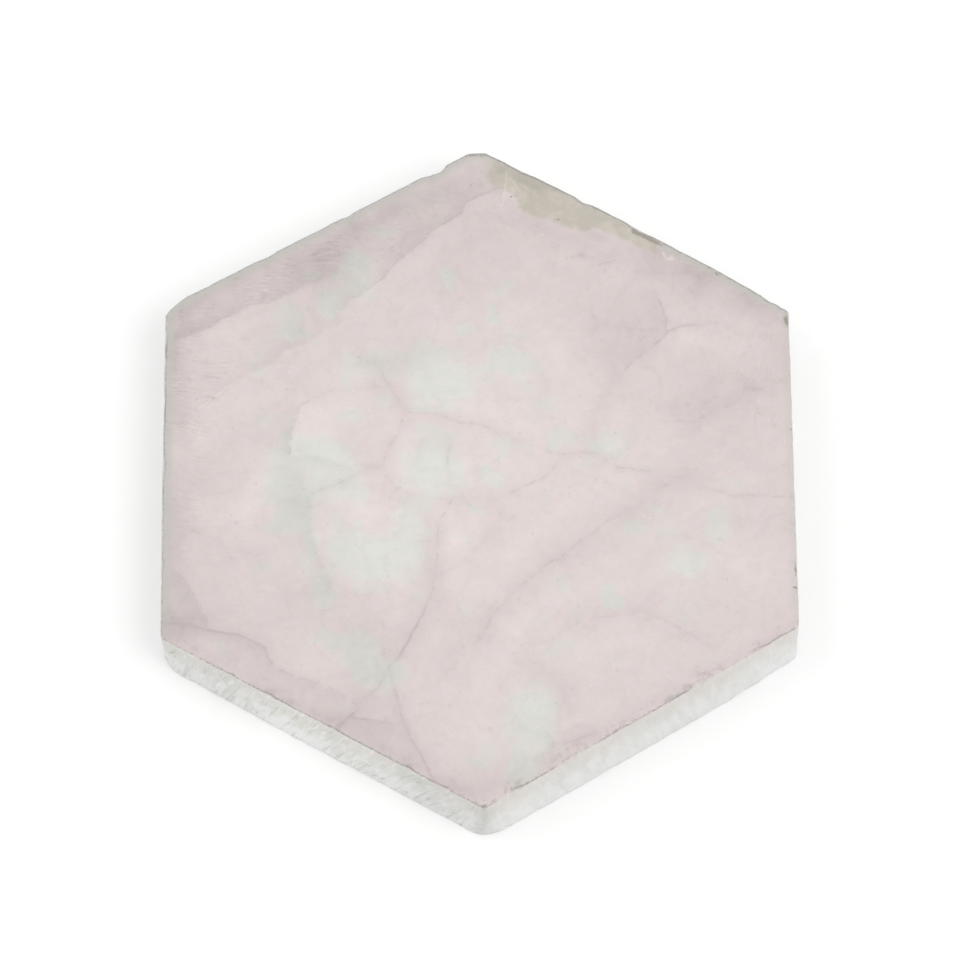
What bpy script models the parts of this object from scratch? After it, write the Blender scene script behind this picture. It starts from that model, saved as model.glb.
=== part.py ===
# A hexagonal plate sawn from one block of cloudy, marbled stone, lying on its flat underside.
# Figures are millimetres unless they say otherwise, and MM turns them into Blender's metres.
# +Z is up, and the origin is at the middle of the underside. Sides run anticlockwise.

import math
from bisect import bisect_right

import bmesh
import bpy
from mathutils import Vector
from mathutils import noise
from mathutils.geometry import delaunay_2d_cdt

MM = 0.001

ACROSS_FLATS = 100.0
THICKNESS = 10.0
CORNER_RADIUS = ACROSS_FLATS / math.sqrt(3)
TO_MIDDLE = Vector((-0.03, 0.66, 0.0))    # brings the middle of the uneven outline over the origin

STATION_STEP = 2.1       # between two points along a side
STATION_DRIFT = 0.3      # how far a point may stray from that step, as a share of it
CLOSEST_STATIONS = 0.75
CORNER_STEPS = 4         # an even number, so that one point is in the middle of each cut
SIDE_LEVELS = (0.0, 0.17, 0.34, 0.5, 0.66, 0.83, 1.0)

ARRIS = 0.16             # an unbroken edge still has this small flat on it
NIBBLE_SIZE = 2.6        # how long the small breaks along an edge are
SAW_DEPTH = 0.13
SAW_SIZE = (2.4, 7.0)    # of the saw's waves, across and along their own run
SIDE_SEED = 40.0         # keeps the saw's waves on one side unlike those on the next
OTHER_EDGE = Vector((0, 0, 9.7))    # and the small breaks along the lower edge unlike the upper

COLOUR = (0.71, 0.65, 0.63, 1.0)
ROUGHNESS = 0.6

# Each corner: its angle, how far it has strayed from a true hexagon, how much of the side before
# and after it is cut away at the foot and at the brim, and how round that cut is (0 is flat).
CORNERS = (
    dict(name="far", angle=90, stray=(0.35, 0.1), foot=(1.7, 2.0), brim=(1.5, 1.8), round=0.2),
    dict(name="back_left", angle=150, stray=(-0.2, -0.1), foot=(3.6, 1.3), brim=(3.8, 1.2), round=0.35),
    dict(name="front_left", angle=210, stray=(0.35, -0.2), foot=(1.9, 2.1), brim=(0.5, 0.6), round=0.3),
    dict(name="near", angle=270, stray=(0.7, -0.4), foot=(1.7, 2.4), brim=(0.5, 0.6), round=1.0),
    dict(name="front_right", angle=330, stray=(0.1, 1.1), foot=(0.9, 0.7), brim=(0.5, 0.5), round=0.8),
    dict(name="back_right", angle=30, stray=(0.1, -0.15), foot=(0.9, 0.8), brim=(0.9, 0.8), round=0.7),
)

# Each side, from the corner it leaves: how far it stands out from the straight line at the foot
# and at the brim, at shares of its length, how ragged its upper edge is, and the lean of its saw
# marks from upright, in degrees.
SIDES = (
    dict(bow=((0, 0.1, 0.1), (0.5, 0.15, 0.08), (1, 0.2, 0.2)), ragged=0.22, slant=12),
    dict(bow=((0, -0.1, -0.15), (0.3, 0, -0.1), (0.5, 0.05, 0.05), (1, 0, 0.05)), ragged=0.3, slant=9),
    dict(bow=((0, 0.44, 0.2), (0.5, 0.78, 0.2), (1, 0.85, 0.2)), ragged=0.28, slant=-17),
    dict(bow=((0, 1.2, 0.2), (0.3, 1.4, 0.2), (0.8, 1.45, 0.2), (1, 0.8, 0.15)), ragged=0.3, slant=6),
    dict(bow=((0, 0.05, 0), (1, 0, 0)), ragged=0.2, slant=15),
    dict(bow=((0, -0.8, -0.85), (0.05, -0.6, -0.6), (0.12, -0.35, -0.35), (0.2, -0.1, -0.1),
              (0.55, 0.3, 0.28), (0.87, 0.2, 0.2), (1, 0, 0)), ragged=0.25, slant=-30),
)

# Breaks in the upper edge: side, distance from the corner it leaves to the deepest point, length
# before and after that point, how far it bites in and how far it reaches down.
UPPER_BREAKS = (
    (0, 7.1, 1.5, 3.0, 0.62, 1.9),       # the notch beside the far corner
    (0, 24.2, 1.1, 1.0, 0.25, 0.4),
    (0, 38.5, 1.2, 2.2, 0.35, 0.4),
    (1, 5.6, 1.1, 1.6, 0.45, 0.6),
    (1, 17.0, 1.4, 1.0, 0.3, 0.5),
    (1, 28.5, 2.4, 3.0, 0.55, 0.8),
    (1, 46.0, 1.0, 1.6, 0.3, 0.4),
    (2, 12.8, 0.9, 1.1, 0.4, 0.7),
    (2, 19.4, 0.8, 1.6, 0.35, 0.5),
    (2, 31.0, 1.5, 1.0, 0.4, 0.5),
    (2, 44.6, 1.0, 1.0, 0.55, 0.6),
    (2, 51.5, 1.2, 0.9, 0.35, 0.5),
    (3, 4.6, 2.0, 2.6, 0.75, 1.1),       # the edge that is worn away beside the near corner
    (3, 16.3, 2.2, 3.0, 0.5, 0.6),
    (3, 25.0, 1.2, 1.5, 0.3, 0.4),
    (3, 39.4, 2.0, 2.6, 0.6, 0.7),
    (3, 50.6, 1.2, 1.4, 0.35, 0.4),
    (4, 11.0, 1.2, 1.0, 0.3, 0.4),
    (4, 36.4, 1.0, 1.0, 0.35, 0.4),
    (4, 55.4, 3.0, 1.6, 0.65, 0.9),      # the flake off the back right corner
    (5, 3.0, 1.0, 1.6, 0.3, 0.5),
    (5, 27.2, 2.2, 2.4, 0.8, 0.5),       # the dark flake in the stained edge
    (5, 38.0, 1.5, 1.5, 0.35, 0.5),
    (5, 49.5, 2.2, 3.0, 0.5, 0.5),
)

# Breaks in the lower edge, in the same way.
LOWER_BREAKS = (
    (0, 14.0, 1.5, 2.0, 0.3, 0.5),
    (0, 43.0, 2.0, 1.2, 0.4, 0.6),
    (1, 24.0, 1.6, 2.2, 0.35, 0.5),
    (2, 8.3, 1.2, 1.8, 0.3, 0.4),
    (2, 36.0, 1.8, 1.2, 0.35, 0.4),
    (3, 21.0, 1.6, 1.6, 0.3, 0.4),
    (3, 46.0, 1.2, 2.2, 0.35, 0.5),
    (4, 30.0, 2.0, 1.6, 0.4, 0.6),
    (5, 18.0, 1.4, 2.0, 0.35, 0.5),
    (5, 42.0, 1.8, 1.4, 0.3, 0.4),
)

# Open cracks in the upper face, each a run of points with its width and depth.
CRACKS = (
    dict(width=0.34, depth=0.3, points=(
        (-5.1, -7.3), (-6.3, -9.4), (-6.5, -15.1), (-7.1, -20.8), (-9.8, -27.3), (-12.6, -32.6),
        (-14.0, -34.4), (-12.9, -38.9), (-12.0, -43.4), (-10.4, -47.0), (-8.7, -51.0), (-8.1, -52.4))),
    dict(width=0.26, depth=0.2, points=(
        (-14.6, -35.6), (-15.9, -38.0), (-17.4, -39.2), (-19.1, -41.4), (-20.2, -42.7), (-21.6, -44.1))),
    dict(width=0.22, depth=0.16, points=((-19.4, -42.8), (-16.6, -43.2), (-12.9, -43.8))),
)

# Pits in the upper face: place, radius and depth.
PITS = (
    (-0.9, 51.0, 0.35, 0.25), (-30.5, 14.2, 0.4, 0.25), (18.6, 27.0, 0.45, 0.3),
    (33.4, 11.0, 0.4, 0.25), (-38.2, -9.4, 0.45, 0.3), (6.2, -22.8, 0.4, 0.25),
    (-24.0, -24.6, 0.35, 0.2), (38.0, -12.6, 0.4, 0.25), (1.6, -44.8, 0.45, 0.3),
    (21.4, -35.0, 0.4, 0.25), (-14.6, 30.4, 0.35, 0.2), (43.6, 21.5, 0.35, 0.2),
)
PIT_SIDES = 6


def clear_scene():
    for item in list(bpy.data.objects):
        bpy.data.objects.remove(item, do_unlink=True)


def mix(low, high, share):
    return low + (high - low) * share


def table_value(rows, share, column):
    """A straight line between the rows' values, the first number of each row being the share."""
    after = min(max(bisect_right([row[0] for row in rows], share), 1), len(rows) - 1)
    low, high = rows[after - 1], rows[after]
    return mix(low[column], high[column], (share - low[0]) / (high[0] - low[0]))


def corner_point(index):
    corner = CORNERS[index % len(CORNERS)]
    angle = math.radians(corner["angle"])
    return Vector((math.cos(angle), math.sin(angle))) * CORNER_RADIUS + Vector(corner["stray"])


def side_direction(side):
    return (corner_point(side + 1) - corner_point(side)).normalized()


def run_point(side, share, height):
    """A point of a side's straight run, which lies between the cuts of its two corners."""
    along = side_direction(side)
    out = Vector((along.y, -along.x))
    here, beyond = CORNERS[side], CORNERS[(side + 1) % len(CORNERS)]
    start = corner_point(side) + along * mix(here["foot"][1], here["brim"][1], height)
    end = corner_point(side + 1) - along * mix(beyond["foot"][0], beyond["brim"][0], height)
    bow = SIDES[side]["bow"]
    stands_out = mix(table_value(bow, share, 1), table_value(bow, share, 2), height)
    return start.lerp(end, share) + out * stands_out


def cut_point(corner, share, height):
    """A point of the cut across a corner, between the ends of the runs on its two sides."""
    before = (corner - 1) % len(CORNERS)
    start, end = run_point(before, 1.0, height), run_point(corner, 0.0, height)
    cuts = [mix(*pair, height) for pair in zip(CORNERS[corner]["foot"], CORNERS[corner]["brim"])]
    uncut = (start + side_direction(before) * cuts[0] + end - side_direction(corner) * cuts[1]) / 2
    pull = ((start + end) / 2).lerp(uncut, CORNERS[corner]["round"])
    return start * (1 - share) ** 2 + pull * 2 * share * (1 - share) + end * share ** 2


def side_shares(side):
    """Shares of a side's run that carry a point: a loose row, and the ends and bed of each break."""
    beyond = CORNERS[(side + 1) % len(CORNERS)]
    start = CORNERS[side]["brim"][1]
    run = (corner_point(side + 1) - corner_point(side)).length - start - beyond["brim"][0]
    kept = []
    for row_side, bed, before, after, bite, reach in UPPER_BREAKS + LOWER_BREAKS:
        if row_side == side:
            kept += [bed - before, bed - before * 0.45, bed, bed + after * 0.5, bed + after]
    kept = [place - start for place in kept]
    count = round(run / STATION_STEP)
    for step in range(1, count):
        loose = noise.noise(Vector((step * 7.3, side * 11.9, 0.5)))
        place = run * step / count + loose * STATION_DRIFT * STATION_STEP
        if all(abs(place - other) > CLOSEST_STATIONS for other in kept):
            kept.append(place)
    return [place / run for place in sorted(kept) if 0.2 < place < run - 0.2]


def stations():
    """Every point round the plate, as a maker of its place, its side or corner, and its share."""
    places = []
    for index in range(len(CORNERS)):
        places += [(cut_point, index, step / CORNER_STEPS) for step in range(CORNER_STEPS + 1)]
        places += [(run_point, index, share) for share in side_shares(index)]
    return places


def travels(brim):
    """How far round the upper edge each station is, and so how far round each corner is."""
    gone = [0.0]
    for here, beyond in zip(brim, brim[1:] + brim[:1]):
        gone.append(gone[-1] + (beyond - here).length)
    return gone[:-1], gone[-1]


def break_at(gone, corner_gone, whole, breaks):
    """How far the breaks bite in and reach at a distance round the edge."""
    bite_in = reach_to = 0.0
    for side, bed, before, after, bite, reach in breaks:
        off = (gone - corner_gone[side] - bed + whole / 2) % whole - whole / 2
        fall = 1 - abs(off) / (before if off < 0 else after)
        if fall > 0.01:
            bite_in = max(bite_in, bite * fall ** 0.8)
            reach_to = max(reach_to, reach * fall ** 0.7)
    return bite_in, reach_to


def saw_mark(side, point, z):
    """The shallow waves that the saw left on a side, leaning with its marks."""
    slant = math.radians(SIDES[side]["slant"])
    travel = point.dot(side_direction(side))
    across = travel * math.cos(slant) + z * math.sin(slant)
    down = z * math.cos(slant) - travel * math.sin(slant)
    return SAW_DEPTH * noise.noise(Vector((across / SAW_SIZE[0], down / SAW_SIZE[1], SIDE_SEED * side)))


def ring_points():
    """The plate's skin as rings of points, from the underside's edge up to the upper face's."""
    places = stations()
    brim = [maker(index, share, 1.0) for maker, index, share in places]
    gone, whole = travels(brim)
    middles = {index: far for (maker, index, share), far in zip(places, gone)
               if maker is cut_point and share == 0.5}
    rings = [[] for _ in range(len(SIDE_LEVELS) + 2)]
    for number, (maker, index, share) in enumerate(places):
        chord = brim[(number + 1) % len(brim)] - brim[number - 1]
        out = Vector((chord.y, -chord.x)).normalized()
        spot = Vector((brim[number].x, brim[number].y, 0)) / NIBBLE_SIZE
        upper_nibble = SIDES[index]["ragged"] * abs(noise.noise(spot))
        lower_nibble = SIDES[index]["ragged"] * abs(noise.noise(spot + OTHER_EDGE))
        upper_bite, upper_reach = break_at(gone[number], middles, whole, UPPER_BREAKS)
        lower_bite, lower_reach = break_at(gone[number], middles, whole, LOWER_BREAKS)
        low = ARRIS + lower_nibble + lower_reach
        high = THICKNESS - ARRIS - upper_nibble - upper_reach
        foot = maker(index, share, 0.0) - out * (ARRIS + lower_nibble + lower_bite)
        rings[0].append(Vector((foot.x, foot.y, 0)))
        for level, level_share in enumerate(SIDE_LEVELS):
            z = mix(low, high, level_share)
            point = maker(index, share, z / THICKNESS)
            point += out * saw_mark(index, point, z)
            rings[level + 1].append(Vector((point.x, point.y, z)))
        top = brim[number] - out * (ARRIS + upper_nibble + upper_bite)
        rings[-1].append(Vector((top.x, top.y, THICKNESS)))
    return rings


def add_loop(points, heights, edges, places, z):
    """Adds a closed loop of points, joined by edges, to the upper face's drawing."""
    first = len(points)
    points.extend(places)
    heights.extend([z] * len(places))
    edges.extend((first + step, first + (step + 1) % len(places)) for step in range(len(places)))


def add_crack(points, heights, edges, crack):
    """A V-shaped groove: two banks on the face and a bed below, which meet at its two ends."""
    bed = [Vector(point) for point in crack["points"]]
    first = len(points)
    rows = []
    for number in range(1, len(bed) - 1):
        along = (bed[number + 1] - bed[number - 1]).normalized()
        reach = Vector((-along.y, along.x)) * crack["width"] / 2
        rows.append((bed[number] + reach, bed[number], bed[number] - reach))
    points.append(bed[0])
    heights.append(THICKNESS)
    for row in rows:
        points.extend(row)
        heights.extend((THICKNESS, THICKNESS - crack["depth"], THICKNESS))
    points.append(bed[-1])
    heights.append(THICKNESS)
    last = len(points) - 1
    for lane in range(3):
        chain = [first] + [first + 1 + 3 * row + lane for row in range(len(rows))] + [last]
        edges.extend(zip(chain, chain[1:]))


def add_pit(points, heights, edges, pit):
    x, y, radius, depth = pit
    turn = math.tau / PIT_SIDES
    rim = [Vector((x + radius * math.cos(turn * step), y + radius * math.sin(turn * step)))
           for step in range(PIT_SIDES)]
    add_loop(points, heights, edges, rim, THICKNESS)
    points.append(Vector((x, y)))
    heights.append(THICKNESS - depth)


def fill_upper_face(bm, rim):
    """Fills the upper face with triangles that keep to its edge, its cracks and its pits."""
    points = [corner.co.xy / MM - TO_MIDDLE.xy for corner in rim]
    heights = [THICKNESS] * len(rim)
    edges = []
    for crack in CRACKS:
        add_crack(points, heights, edges, crack)
    for pit in PITS:
        add_pit(points, heights, edges, pit)
    outline = list(range(len(rim)))
    placed, _, faces, origins, _, _ = delaunay_2d_cdt(points, edges, [outline], 1, 1e-6)
    corners = []
    for place, origin in zip(placed, origins):
        source = origin[0]
        is_rim = source < len(rim)
        corners.append(rim[source] if is_rim else
                       bm.verts.new((Vector((place.x, place.y, heights[source])) + TO_MIDDLE) * MM))
    for face in faces:
        bm.faces.new([corners[number] for number in face])


def make_stone():
    stone = bpy.data.materials.new("marbled stone")
    stone.use_nodes = True
    shader = stone.node_tree.nodes["Principled BSDF"]
    shader.inputs["Base Color"].default_value = COLOUR
    shader.inputs["Roughness"].default_value = ROUGHNESS
    shader.inputs["Metallic"].default_value = 0.0
    return stone


def make_plate():
    bm = bmesh.new()
    rings = [[bm.verts.new((point + TO_MIDDLE) * MM) for point in ring] for ring in ring_points()]
    count = len(rings[0])
    for lower, upper in zip(rings, rings[1:]):
        for number in range(count):
            beyond = (number + 1) % count
            bm.faces.new((lower[number], lower[beyond], upper[beyond], upper[number]))
    bm.faces.new(reversed(rings[0]))
    fill_upper_face(bm, rings[-1])
    bmesh.ops.recalc_face_normals(bm, faces=bm.faces)
    mesh = bpy.data.meshes.new("selenite_plate")
    bm.to_mesh(mesh)
    bm.free()
    mesh.materials.append(make_stone())
    plate = bpy.data.objects.new("selenite_plate", mesh)
    bpy.context.collection.objects.link(plate)
    return plate


clear_scene()
make_plate()
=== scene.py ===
# Dresses the sawn stone plate: a fine mesh of its faces, cracks and broken edges, and its cloudy marbling.
# Figures are millimetres in the plate's own frame, with the origin under its middle, unless they say
# otherwise.

import math
from bisect import bisect_right
from types import SimpleNamespace

import bpy
import numpy as np
from mathutils import Matrix, Vector, noise
from mathutils.geometry import delaunay_2d_cdt
from mathutils.kdtree import KDTree


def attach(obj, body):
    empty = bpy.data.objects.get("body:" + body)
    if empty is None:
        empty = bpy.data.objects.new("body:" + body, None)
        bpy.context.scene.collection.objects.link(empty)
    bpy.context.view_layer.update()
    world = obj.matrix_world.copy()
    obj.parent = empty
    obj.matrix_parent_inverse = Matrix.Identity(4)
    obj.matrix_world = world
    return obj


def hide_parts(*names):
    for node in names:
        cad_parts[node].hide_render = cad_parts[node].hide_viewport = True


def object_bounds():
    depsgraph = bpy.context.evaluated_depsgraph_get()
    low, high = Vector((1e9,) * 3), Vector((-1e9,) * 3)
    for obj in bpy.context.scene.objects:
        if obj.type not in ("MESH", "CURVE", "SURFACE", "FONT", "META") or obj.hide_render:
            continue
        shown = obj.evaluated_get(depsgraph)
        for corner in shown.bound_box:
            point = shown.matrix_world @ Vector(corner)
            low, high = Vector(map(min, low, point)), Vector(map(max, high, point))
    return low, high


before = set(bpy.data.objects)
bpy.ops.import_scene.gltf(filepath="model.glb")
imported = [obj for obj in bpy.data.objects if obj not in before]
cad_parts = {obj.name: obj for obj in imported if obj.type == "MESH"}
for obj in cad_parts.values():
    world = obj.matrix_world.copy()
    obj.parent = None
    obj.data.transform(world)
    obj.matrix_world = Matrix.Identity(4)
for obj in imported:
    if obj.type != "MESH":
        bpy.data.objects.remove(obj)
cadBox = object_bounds()
mm = 0.001
farAway = 1000.0


# The camera looks down on the plate from in front, through a long lens.
view = {
    "target": (0.32, -1.43, 10.0),
    "distance": 860.67,
    "elevation": 64.28,           # degrees
    "roll": -0.347,               # degrees
    "lens": 203.975,
    "sensor": 36.0,
}


def makeCamera():
    lens = bpy.data.cameras.new("studioCamera")
    lens.lens = view["lens"]
    lens.sensor_width = view["sensor"]
    camera = bpy.data.objects.new("studioCamera", lens)
    bpy.context.scene.collection.objects.link(camera)
    rise = math.radians(view["elevation"])
    away = Vector((0, -math.cos(rise), math.sin(rise)))
    place = (Vector(view["target"]) + away * view["distance"]) * mm
    tilt = Matrix.Rotation(math.pi / 2 - rise, 4, "X") @ Matrix.Rotation(math.radians(view["roll"]), 4, "Z")
    camera.matrix_world = Matrix.Translation(place) @ tilt
    bpy.context.scene.camera = camera


# The sawn outline, in the same measures as the solid that the piece stands for.
outline = {
    "acrossFlats": 100.0,
    "thickness": 10.0,
    "toMiddle": (-0.03, 0.66),    # brings the middle of the uneven outline over the origin
    "arris": 0.16,                # the small flat on an unbroken edge
    "nibbleSize": 2.6,            # how long the small breaks along an edge are
    "biteFall": 0.8,              # how a break's bite and reach fall off towards its ends
    "reachFall": 0.7,
    "waveDepth": 0.09,            # of the saw's waves
    "waveSize": (2.4, 7.0),       # across and along their own run
    "sideSeed": 40.0,             # keeps the waves on one side unlike those on the next
    "otherEdge": (0.0, 0.0, 9.7), # and the small breaks along the lower edge unlike the upper
    "step": 0.36,                 # between two points round the edge
    "levels": 24,                 # up each side
}

# Each corner: its angle, how far it has strayed from a true hexagon, how much of the side before and
# after it is cut away at the foot and at the brim, and how round that cut is.
corners = (
    dict(angle=90, stray=(0.35, 0.1), foot=(1.7, 2.0), brim=(1.5, 1.8), round=0.2),        # far
    dict(angle=150, stray=(-0.2, -0.1), foot=(3.6, 1.3), brim=(3.8, 1.2), round=0.35),     # back left
    dict(angle=210, stray=(0.35, -0.2), foot=(1.9, 2.1), brim=(0.5, 0.6), round=0.3),      # front left
    dict(angle=270, stray=(0.7, -0.4), foot=(1.7, 2.4), brim=(0.5, 0.6), round=1.0),       # near
    dict(angle=330, stray=(0.1, 1.1), foot=(0.9, 0.7), brim=(0.5, 0.5), round=0.8),        # front right
    dict(angle=30, stray=(0.1, -0.15), foot=(0.9, 0.8), brim=(0.9, 0.8), round=0.7),       # back right
)

# Each side, from its corner anticlockwise: how far it stands out at the foot and at the brim at shares of
# its length, how ragged its edge is, the lean of its saw marks in degrees, how green its rim is on the
# upper face and how wide (that rim also darkens the edge as painted shade), how dark the line painted
# along its arris is at shares of its length and how far that line reaches into the upper face, how green
# and how chipped the side itself is, and how smudged the upper face is along it.
sides = (
    dict(bow=((0, 0.1, 0.1), (0.5, 0.15, 0.08), (1, 0.2, 0.2)), ragged=0.12, slant=12, rim=(1.0, 1.6),
         arrisDark=((0, 0.95), (0.3, 0.75), (1, 0.75)), inside=0.3, green=0.7, chip=0.7, smudge=0.5),
    dict(bow=((0, -0.1, -0.15), (0.3, 0, -0.1), (0.5, 0.05, 0.05), (1, 0, 0.05)), ragged=0.12, slant=9,
         rim=(0.9, 1.7), arrisDark=((0, 0.5), (0.3, 0.8), (0.6, 0.6), (1, 0.6)), inside=0.35,
         green=0.8, chip=0.7, smudge=0.3),
    dict(bow=((0, 0.44, 0.2), (0.5, 0.78, 0.2), (1, 0.85, 0.2)), ragged=0.16, slant=-22, rim=(0.0, 0.8),
         arrisDark=((0, 0.6), (0.12, 0.6), (0.2, 0.75), (0.28, 0.9), (0.37, 1), (0.45, 0.7), (0.52, 0.85),
               (0.62, 1), (0.73, 0.7), (0.82, 1), (0.93, 0.65), (1, 1)),
         inside=0.3, green=1.0, chip=1.0, smudge=0.5),
    dict(bow=((0, 1.2, 0.2), (0.3, 1.4, 0.2), (0.8, 1.45, 0.2), (1, 0.8, 0.15)), ragged=0.18, slant=6,
         rim=(0.0, 0.8),
         arrisDark=((0, 0.9), (0.03, 0.25), (0.07, 0.35), (0.1, 0.95), (0.2, 0.85), (0.23, 0.4), (0.34, 0.35),
               (0.37, 0.75), (0.56, 0.8), (0.6, 0.95), (0.63, 0.85), (0.66, 0.4), (0.87, 0.35),
               (0.9, 0.85), (1, 0.95)),
         inside=0.4, green=0.45, chip=0.22, smudge=0.9),
    dict(bow=((0, 0.05, 0), (1, 0, 0)), ragged=0.12, slant=15, rim=(0.35, 1.2), arrisDark=((0, 0.5), (1, 0.4)),
         inside=0.2, green=0.5, chip=0.5, smudge=0.2),
    dict(bow=((0, -0.8, -0.85), (0.05, -0.6, -0.6), (0.12, -0.35, -0.35), (0.2, -0.1, -0.1),
              (0.55, 0.3, 0.28), (0.87, 0.2, 0.2), (1, 0, 0)),
         ragged=0.14, slant=-30, rim=(0.95, 1.6), arrisDark=((0, 0.95), (0.45, 1), (1, 1.1)), inside=0.4,
         green=0.6, chip=0.6, smudge=0.6),
)

# Breaks in the edges: side, distance from its corner to the bed, length before and after the bed,
# how far it bites in and how far it reaches down or up.
upperBreaks = (
    (0, 7.1, 1.5, 3.0, 0.62, 1.9), (0, 24.2, 1.1, 1.0, 0.15, 0.4), (0, 38.5, 1.2, 2.2, 0.2, 0.4),
    (1, 5.6, 1.1, 2.4, 0.3, 0.6), (1, 17.0, 1.4, 1.0, 0.15, 0.4), (1, 28.5, 2.4, 3.0, 0.3, 0.6),
    (1, 46.0, 1.0, 1.6, 0.2, 0.4),
    (2, 12.8, 0.9, 1.1, 0.3, 0.6), (2, 19.4, 0.8, 1.6, 0.25, 0.4), (2, 31.0, 1.5, 1.0, 0.3, 0.4),
    (2, 44.6, 1.0, 1.0, 0.35, 0.5), (2, 51.5, 1.2, 0.9, 0.25, 0.4),
    (3, 4.6, 2.0, 2.6, 0.75, 1.1), (3, 16.3, 2.2, 3.0, 0.5, 0.6), (3, 25.0, 1.2, 1.5, 0.3, 0.4),
    (3, 39.4, 2.0, 2.6, 0.6, 0.7), (3, 50.6, 1.2, 1.4, 0.35, 0.4),
    (4, 11.0, 1.2, 1.0, 0.3, 0.4), (4, 36.4, 1.0, 1.0, 0.25, 0.4), (4, 56.0, 2.2, 1.4, 0.15, 0.4),
    (5, 3.0, 1.0, 1.6, 0.2, 0.4), (5, 27.2, 2.2, 2.4, 0.35, 0.4), (5, 38.0, 1.5, 1.5, 0.35, 0.5),
    (5, 49.5, 2.2, 3.0, 0.3, 0.4),
)
lowerBreaks = (
    (0, 14.0, 1.5, 2.0, 0.3, 0.5), (0, 43.0, 2.0, 1.2, 0.4, 0.6),
    (1, 24.0, 1.6, 2.2, 0.35, 0.5),
    (2, 8.3, 1.2, 1.8, 0.3, 0.4), (2, 36.0, 1.8, 1.2, 0.35, 0.4),
    (3, 21.0, 1.6, 1.6, 0.3, 0.4), (3, 46.0, 1.2, 2.2, 0.35, 0.5),
    (4, 30.0, 2.0, 1.6, 0.4, 0.6),
    (5, 18.0, 1.4, 2.0, 0.35, 0.5), (5, 42.0, 1.8, 1.4, 0.3, 0.4),
)


def between(low, high, share):
    return low + (high - low) * share


def tableValue(rows, share, column):
    after = min(max(bisect_right([row[0] for row in rows], share), 1), len(rows) - 1)
    low, high = rows[after - 1], rows[after]
    return between(low[column], high[column], (share - low[0]) / (high[0] - low[0]))


def cornerPoint(index):
    corner = corners[index % len(corners)]
    angle = math.radians(corner["angle"])
    reach = outline["acrossFlats"] / math.sqrt(3)
    return Vector((math.cos(angle), math.sin(angle))) * reach + Vector(corner["stray"])


cornerPoints = [cornerPoint(index) for index in range(len(corners))]
sideWays = [(cornerPoint(index + 1) - cornerPoint(index)).normalized() for index in range(len(corners))]


def runPoint(side, share, height):
    # A point of a side's straight run, which lies between the cuts of its two corners.
    way = sideWays[side]
    out = Vector((way.y, -way.x))
    beyond = (side + 1) % len(corners)
    leave = between(corners[side]["foot"][1], corners[side]["brim"][1], height)
    arrive = between(corners[beyond]["foot"][0], corners[beyond]["brim"][0], height)
    start = cornerPoints[side] + way * leave
    end = cornerPoints[beyond] - way * arrive
    bow = sides[side]["bow"]
    standsOut = between(tableValue(bow, share, 1), tableValue(bow, share, 2), height)
    return start.lerp(end, share) + out * standsOut


def cutPoint(corner, share, height):
    # A point of the cut across a corner, between the ends of the runs on its two sides.
    before = (corner - 1) % len(corners)
    start, end = runPoint(before, 1.0, height), runPoint(corner, 0.0, height)
    cuts = [between(*pair, height) for pair in zip(corners[corner]["foot"], corners[corner]["brim"])]
    uncut = (start + sideWays[before] * cuts[0] + end - sideWays[corner] * cuts[1]) / 2
    pull = ((start + end) / 2).lerp(uncut, corners[corner]["round"])
    return start * (1 - share) ** 2 + pull * 2 * share * (1 - share) + end * share ** 2


def edgeStations():
    # Every point round the edge: what makes its place, its side or corner, and its share of that.
    places = []
    for index in range(len(corners)):
        cut = (cutPoint(index, 1, 0.5) - cutPoint(index, 0, 0.5)).length
        steps = max(4, 2 * round(cut / outline["step"] / 2))
        places += [(cutPoint, index, step / steps) for step in range(steps + 1)]
        run = (runPoint(index, 1, 1) - runPoint(index, 0, 1)).length
        count = round(run / outline["step"])
        places += [(runPoint, index, step / count) for step in range(1, count)]
    return places


def breakAt(gone, cornerGone, whole, breaks):
    # How far the breaks bite in and reach at a distance round the edge.
    biteIn = reachTo = 0.0
    for side, bed, before, after, bite, reach in breaks:
        off = (gone - cornerGone[side] - bed + whole / 2) % whole - whole / 2
        fall = 1 - abs(off) / (before if off < 0 else after)
        if fall > 0.01:
            biteIn = max(biteIn, bite * fall ** outline["biteFall"])
            reachTo = max(reachTo, reach * fall ** outline["reachFall"])
    return biteIn, reachTo


# What the fine mesh adds to the sawn sides and their edges.
fineEdge = {
    "grooveDepth": 0.05,          # of the narrow grooves between the saw's waves
    "grooveSize": (0.8, 5.0),
    "grooveSeed": 5,
    "nickDepth": 0.16,            # of the small nicks in an edge
    "nickSize": 0.9,
    "nickFrom": 0.15,             # how strong the noise is where a nick starts
    "outMost": -0.1,              # how far a nick or an uneven bed may stand out
    "bedRough": 0.22,             # how uneven the bed of a break is, as a share of its bite
    "bedSize": 0.6,
    "footWorn": 0.5,              # how much of the brim's wear the foot has
    "middleRings": (0.35, 0.72),  # how far round the arris its two middle rings are
    "hollow": (0.05, 0.12),       # how hollow the arris is, and how much more where it is rough
    "hollowSize": 1.4,
}


def sawWave(side, point, z):
    # How far the saw's waves and grooves move a point of a side outwards.
    slant = math.radians(sides[side]["slant"])
    travel = point.dot(sideWays[side])
    across = travel * math.cos(slant) + z * math.sin(slant)
    down = z * math.cos(slant) - travel * math.sin(slant)
    seed = outline["sideSeed"] * side
    size, fine = outline["waveSize"], fineEdge["grooveSize"]
    wave = outline["waveDepth"] * noise.noise((across / size[0], down / size[1], seed))
    groove = noise.noise((across / fine[0], down / fine[1], seed + fineEdge["grooveSeed"]))
    return wave - fineEdge["grooveDepth"] * abs(groove)


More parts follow.
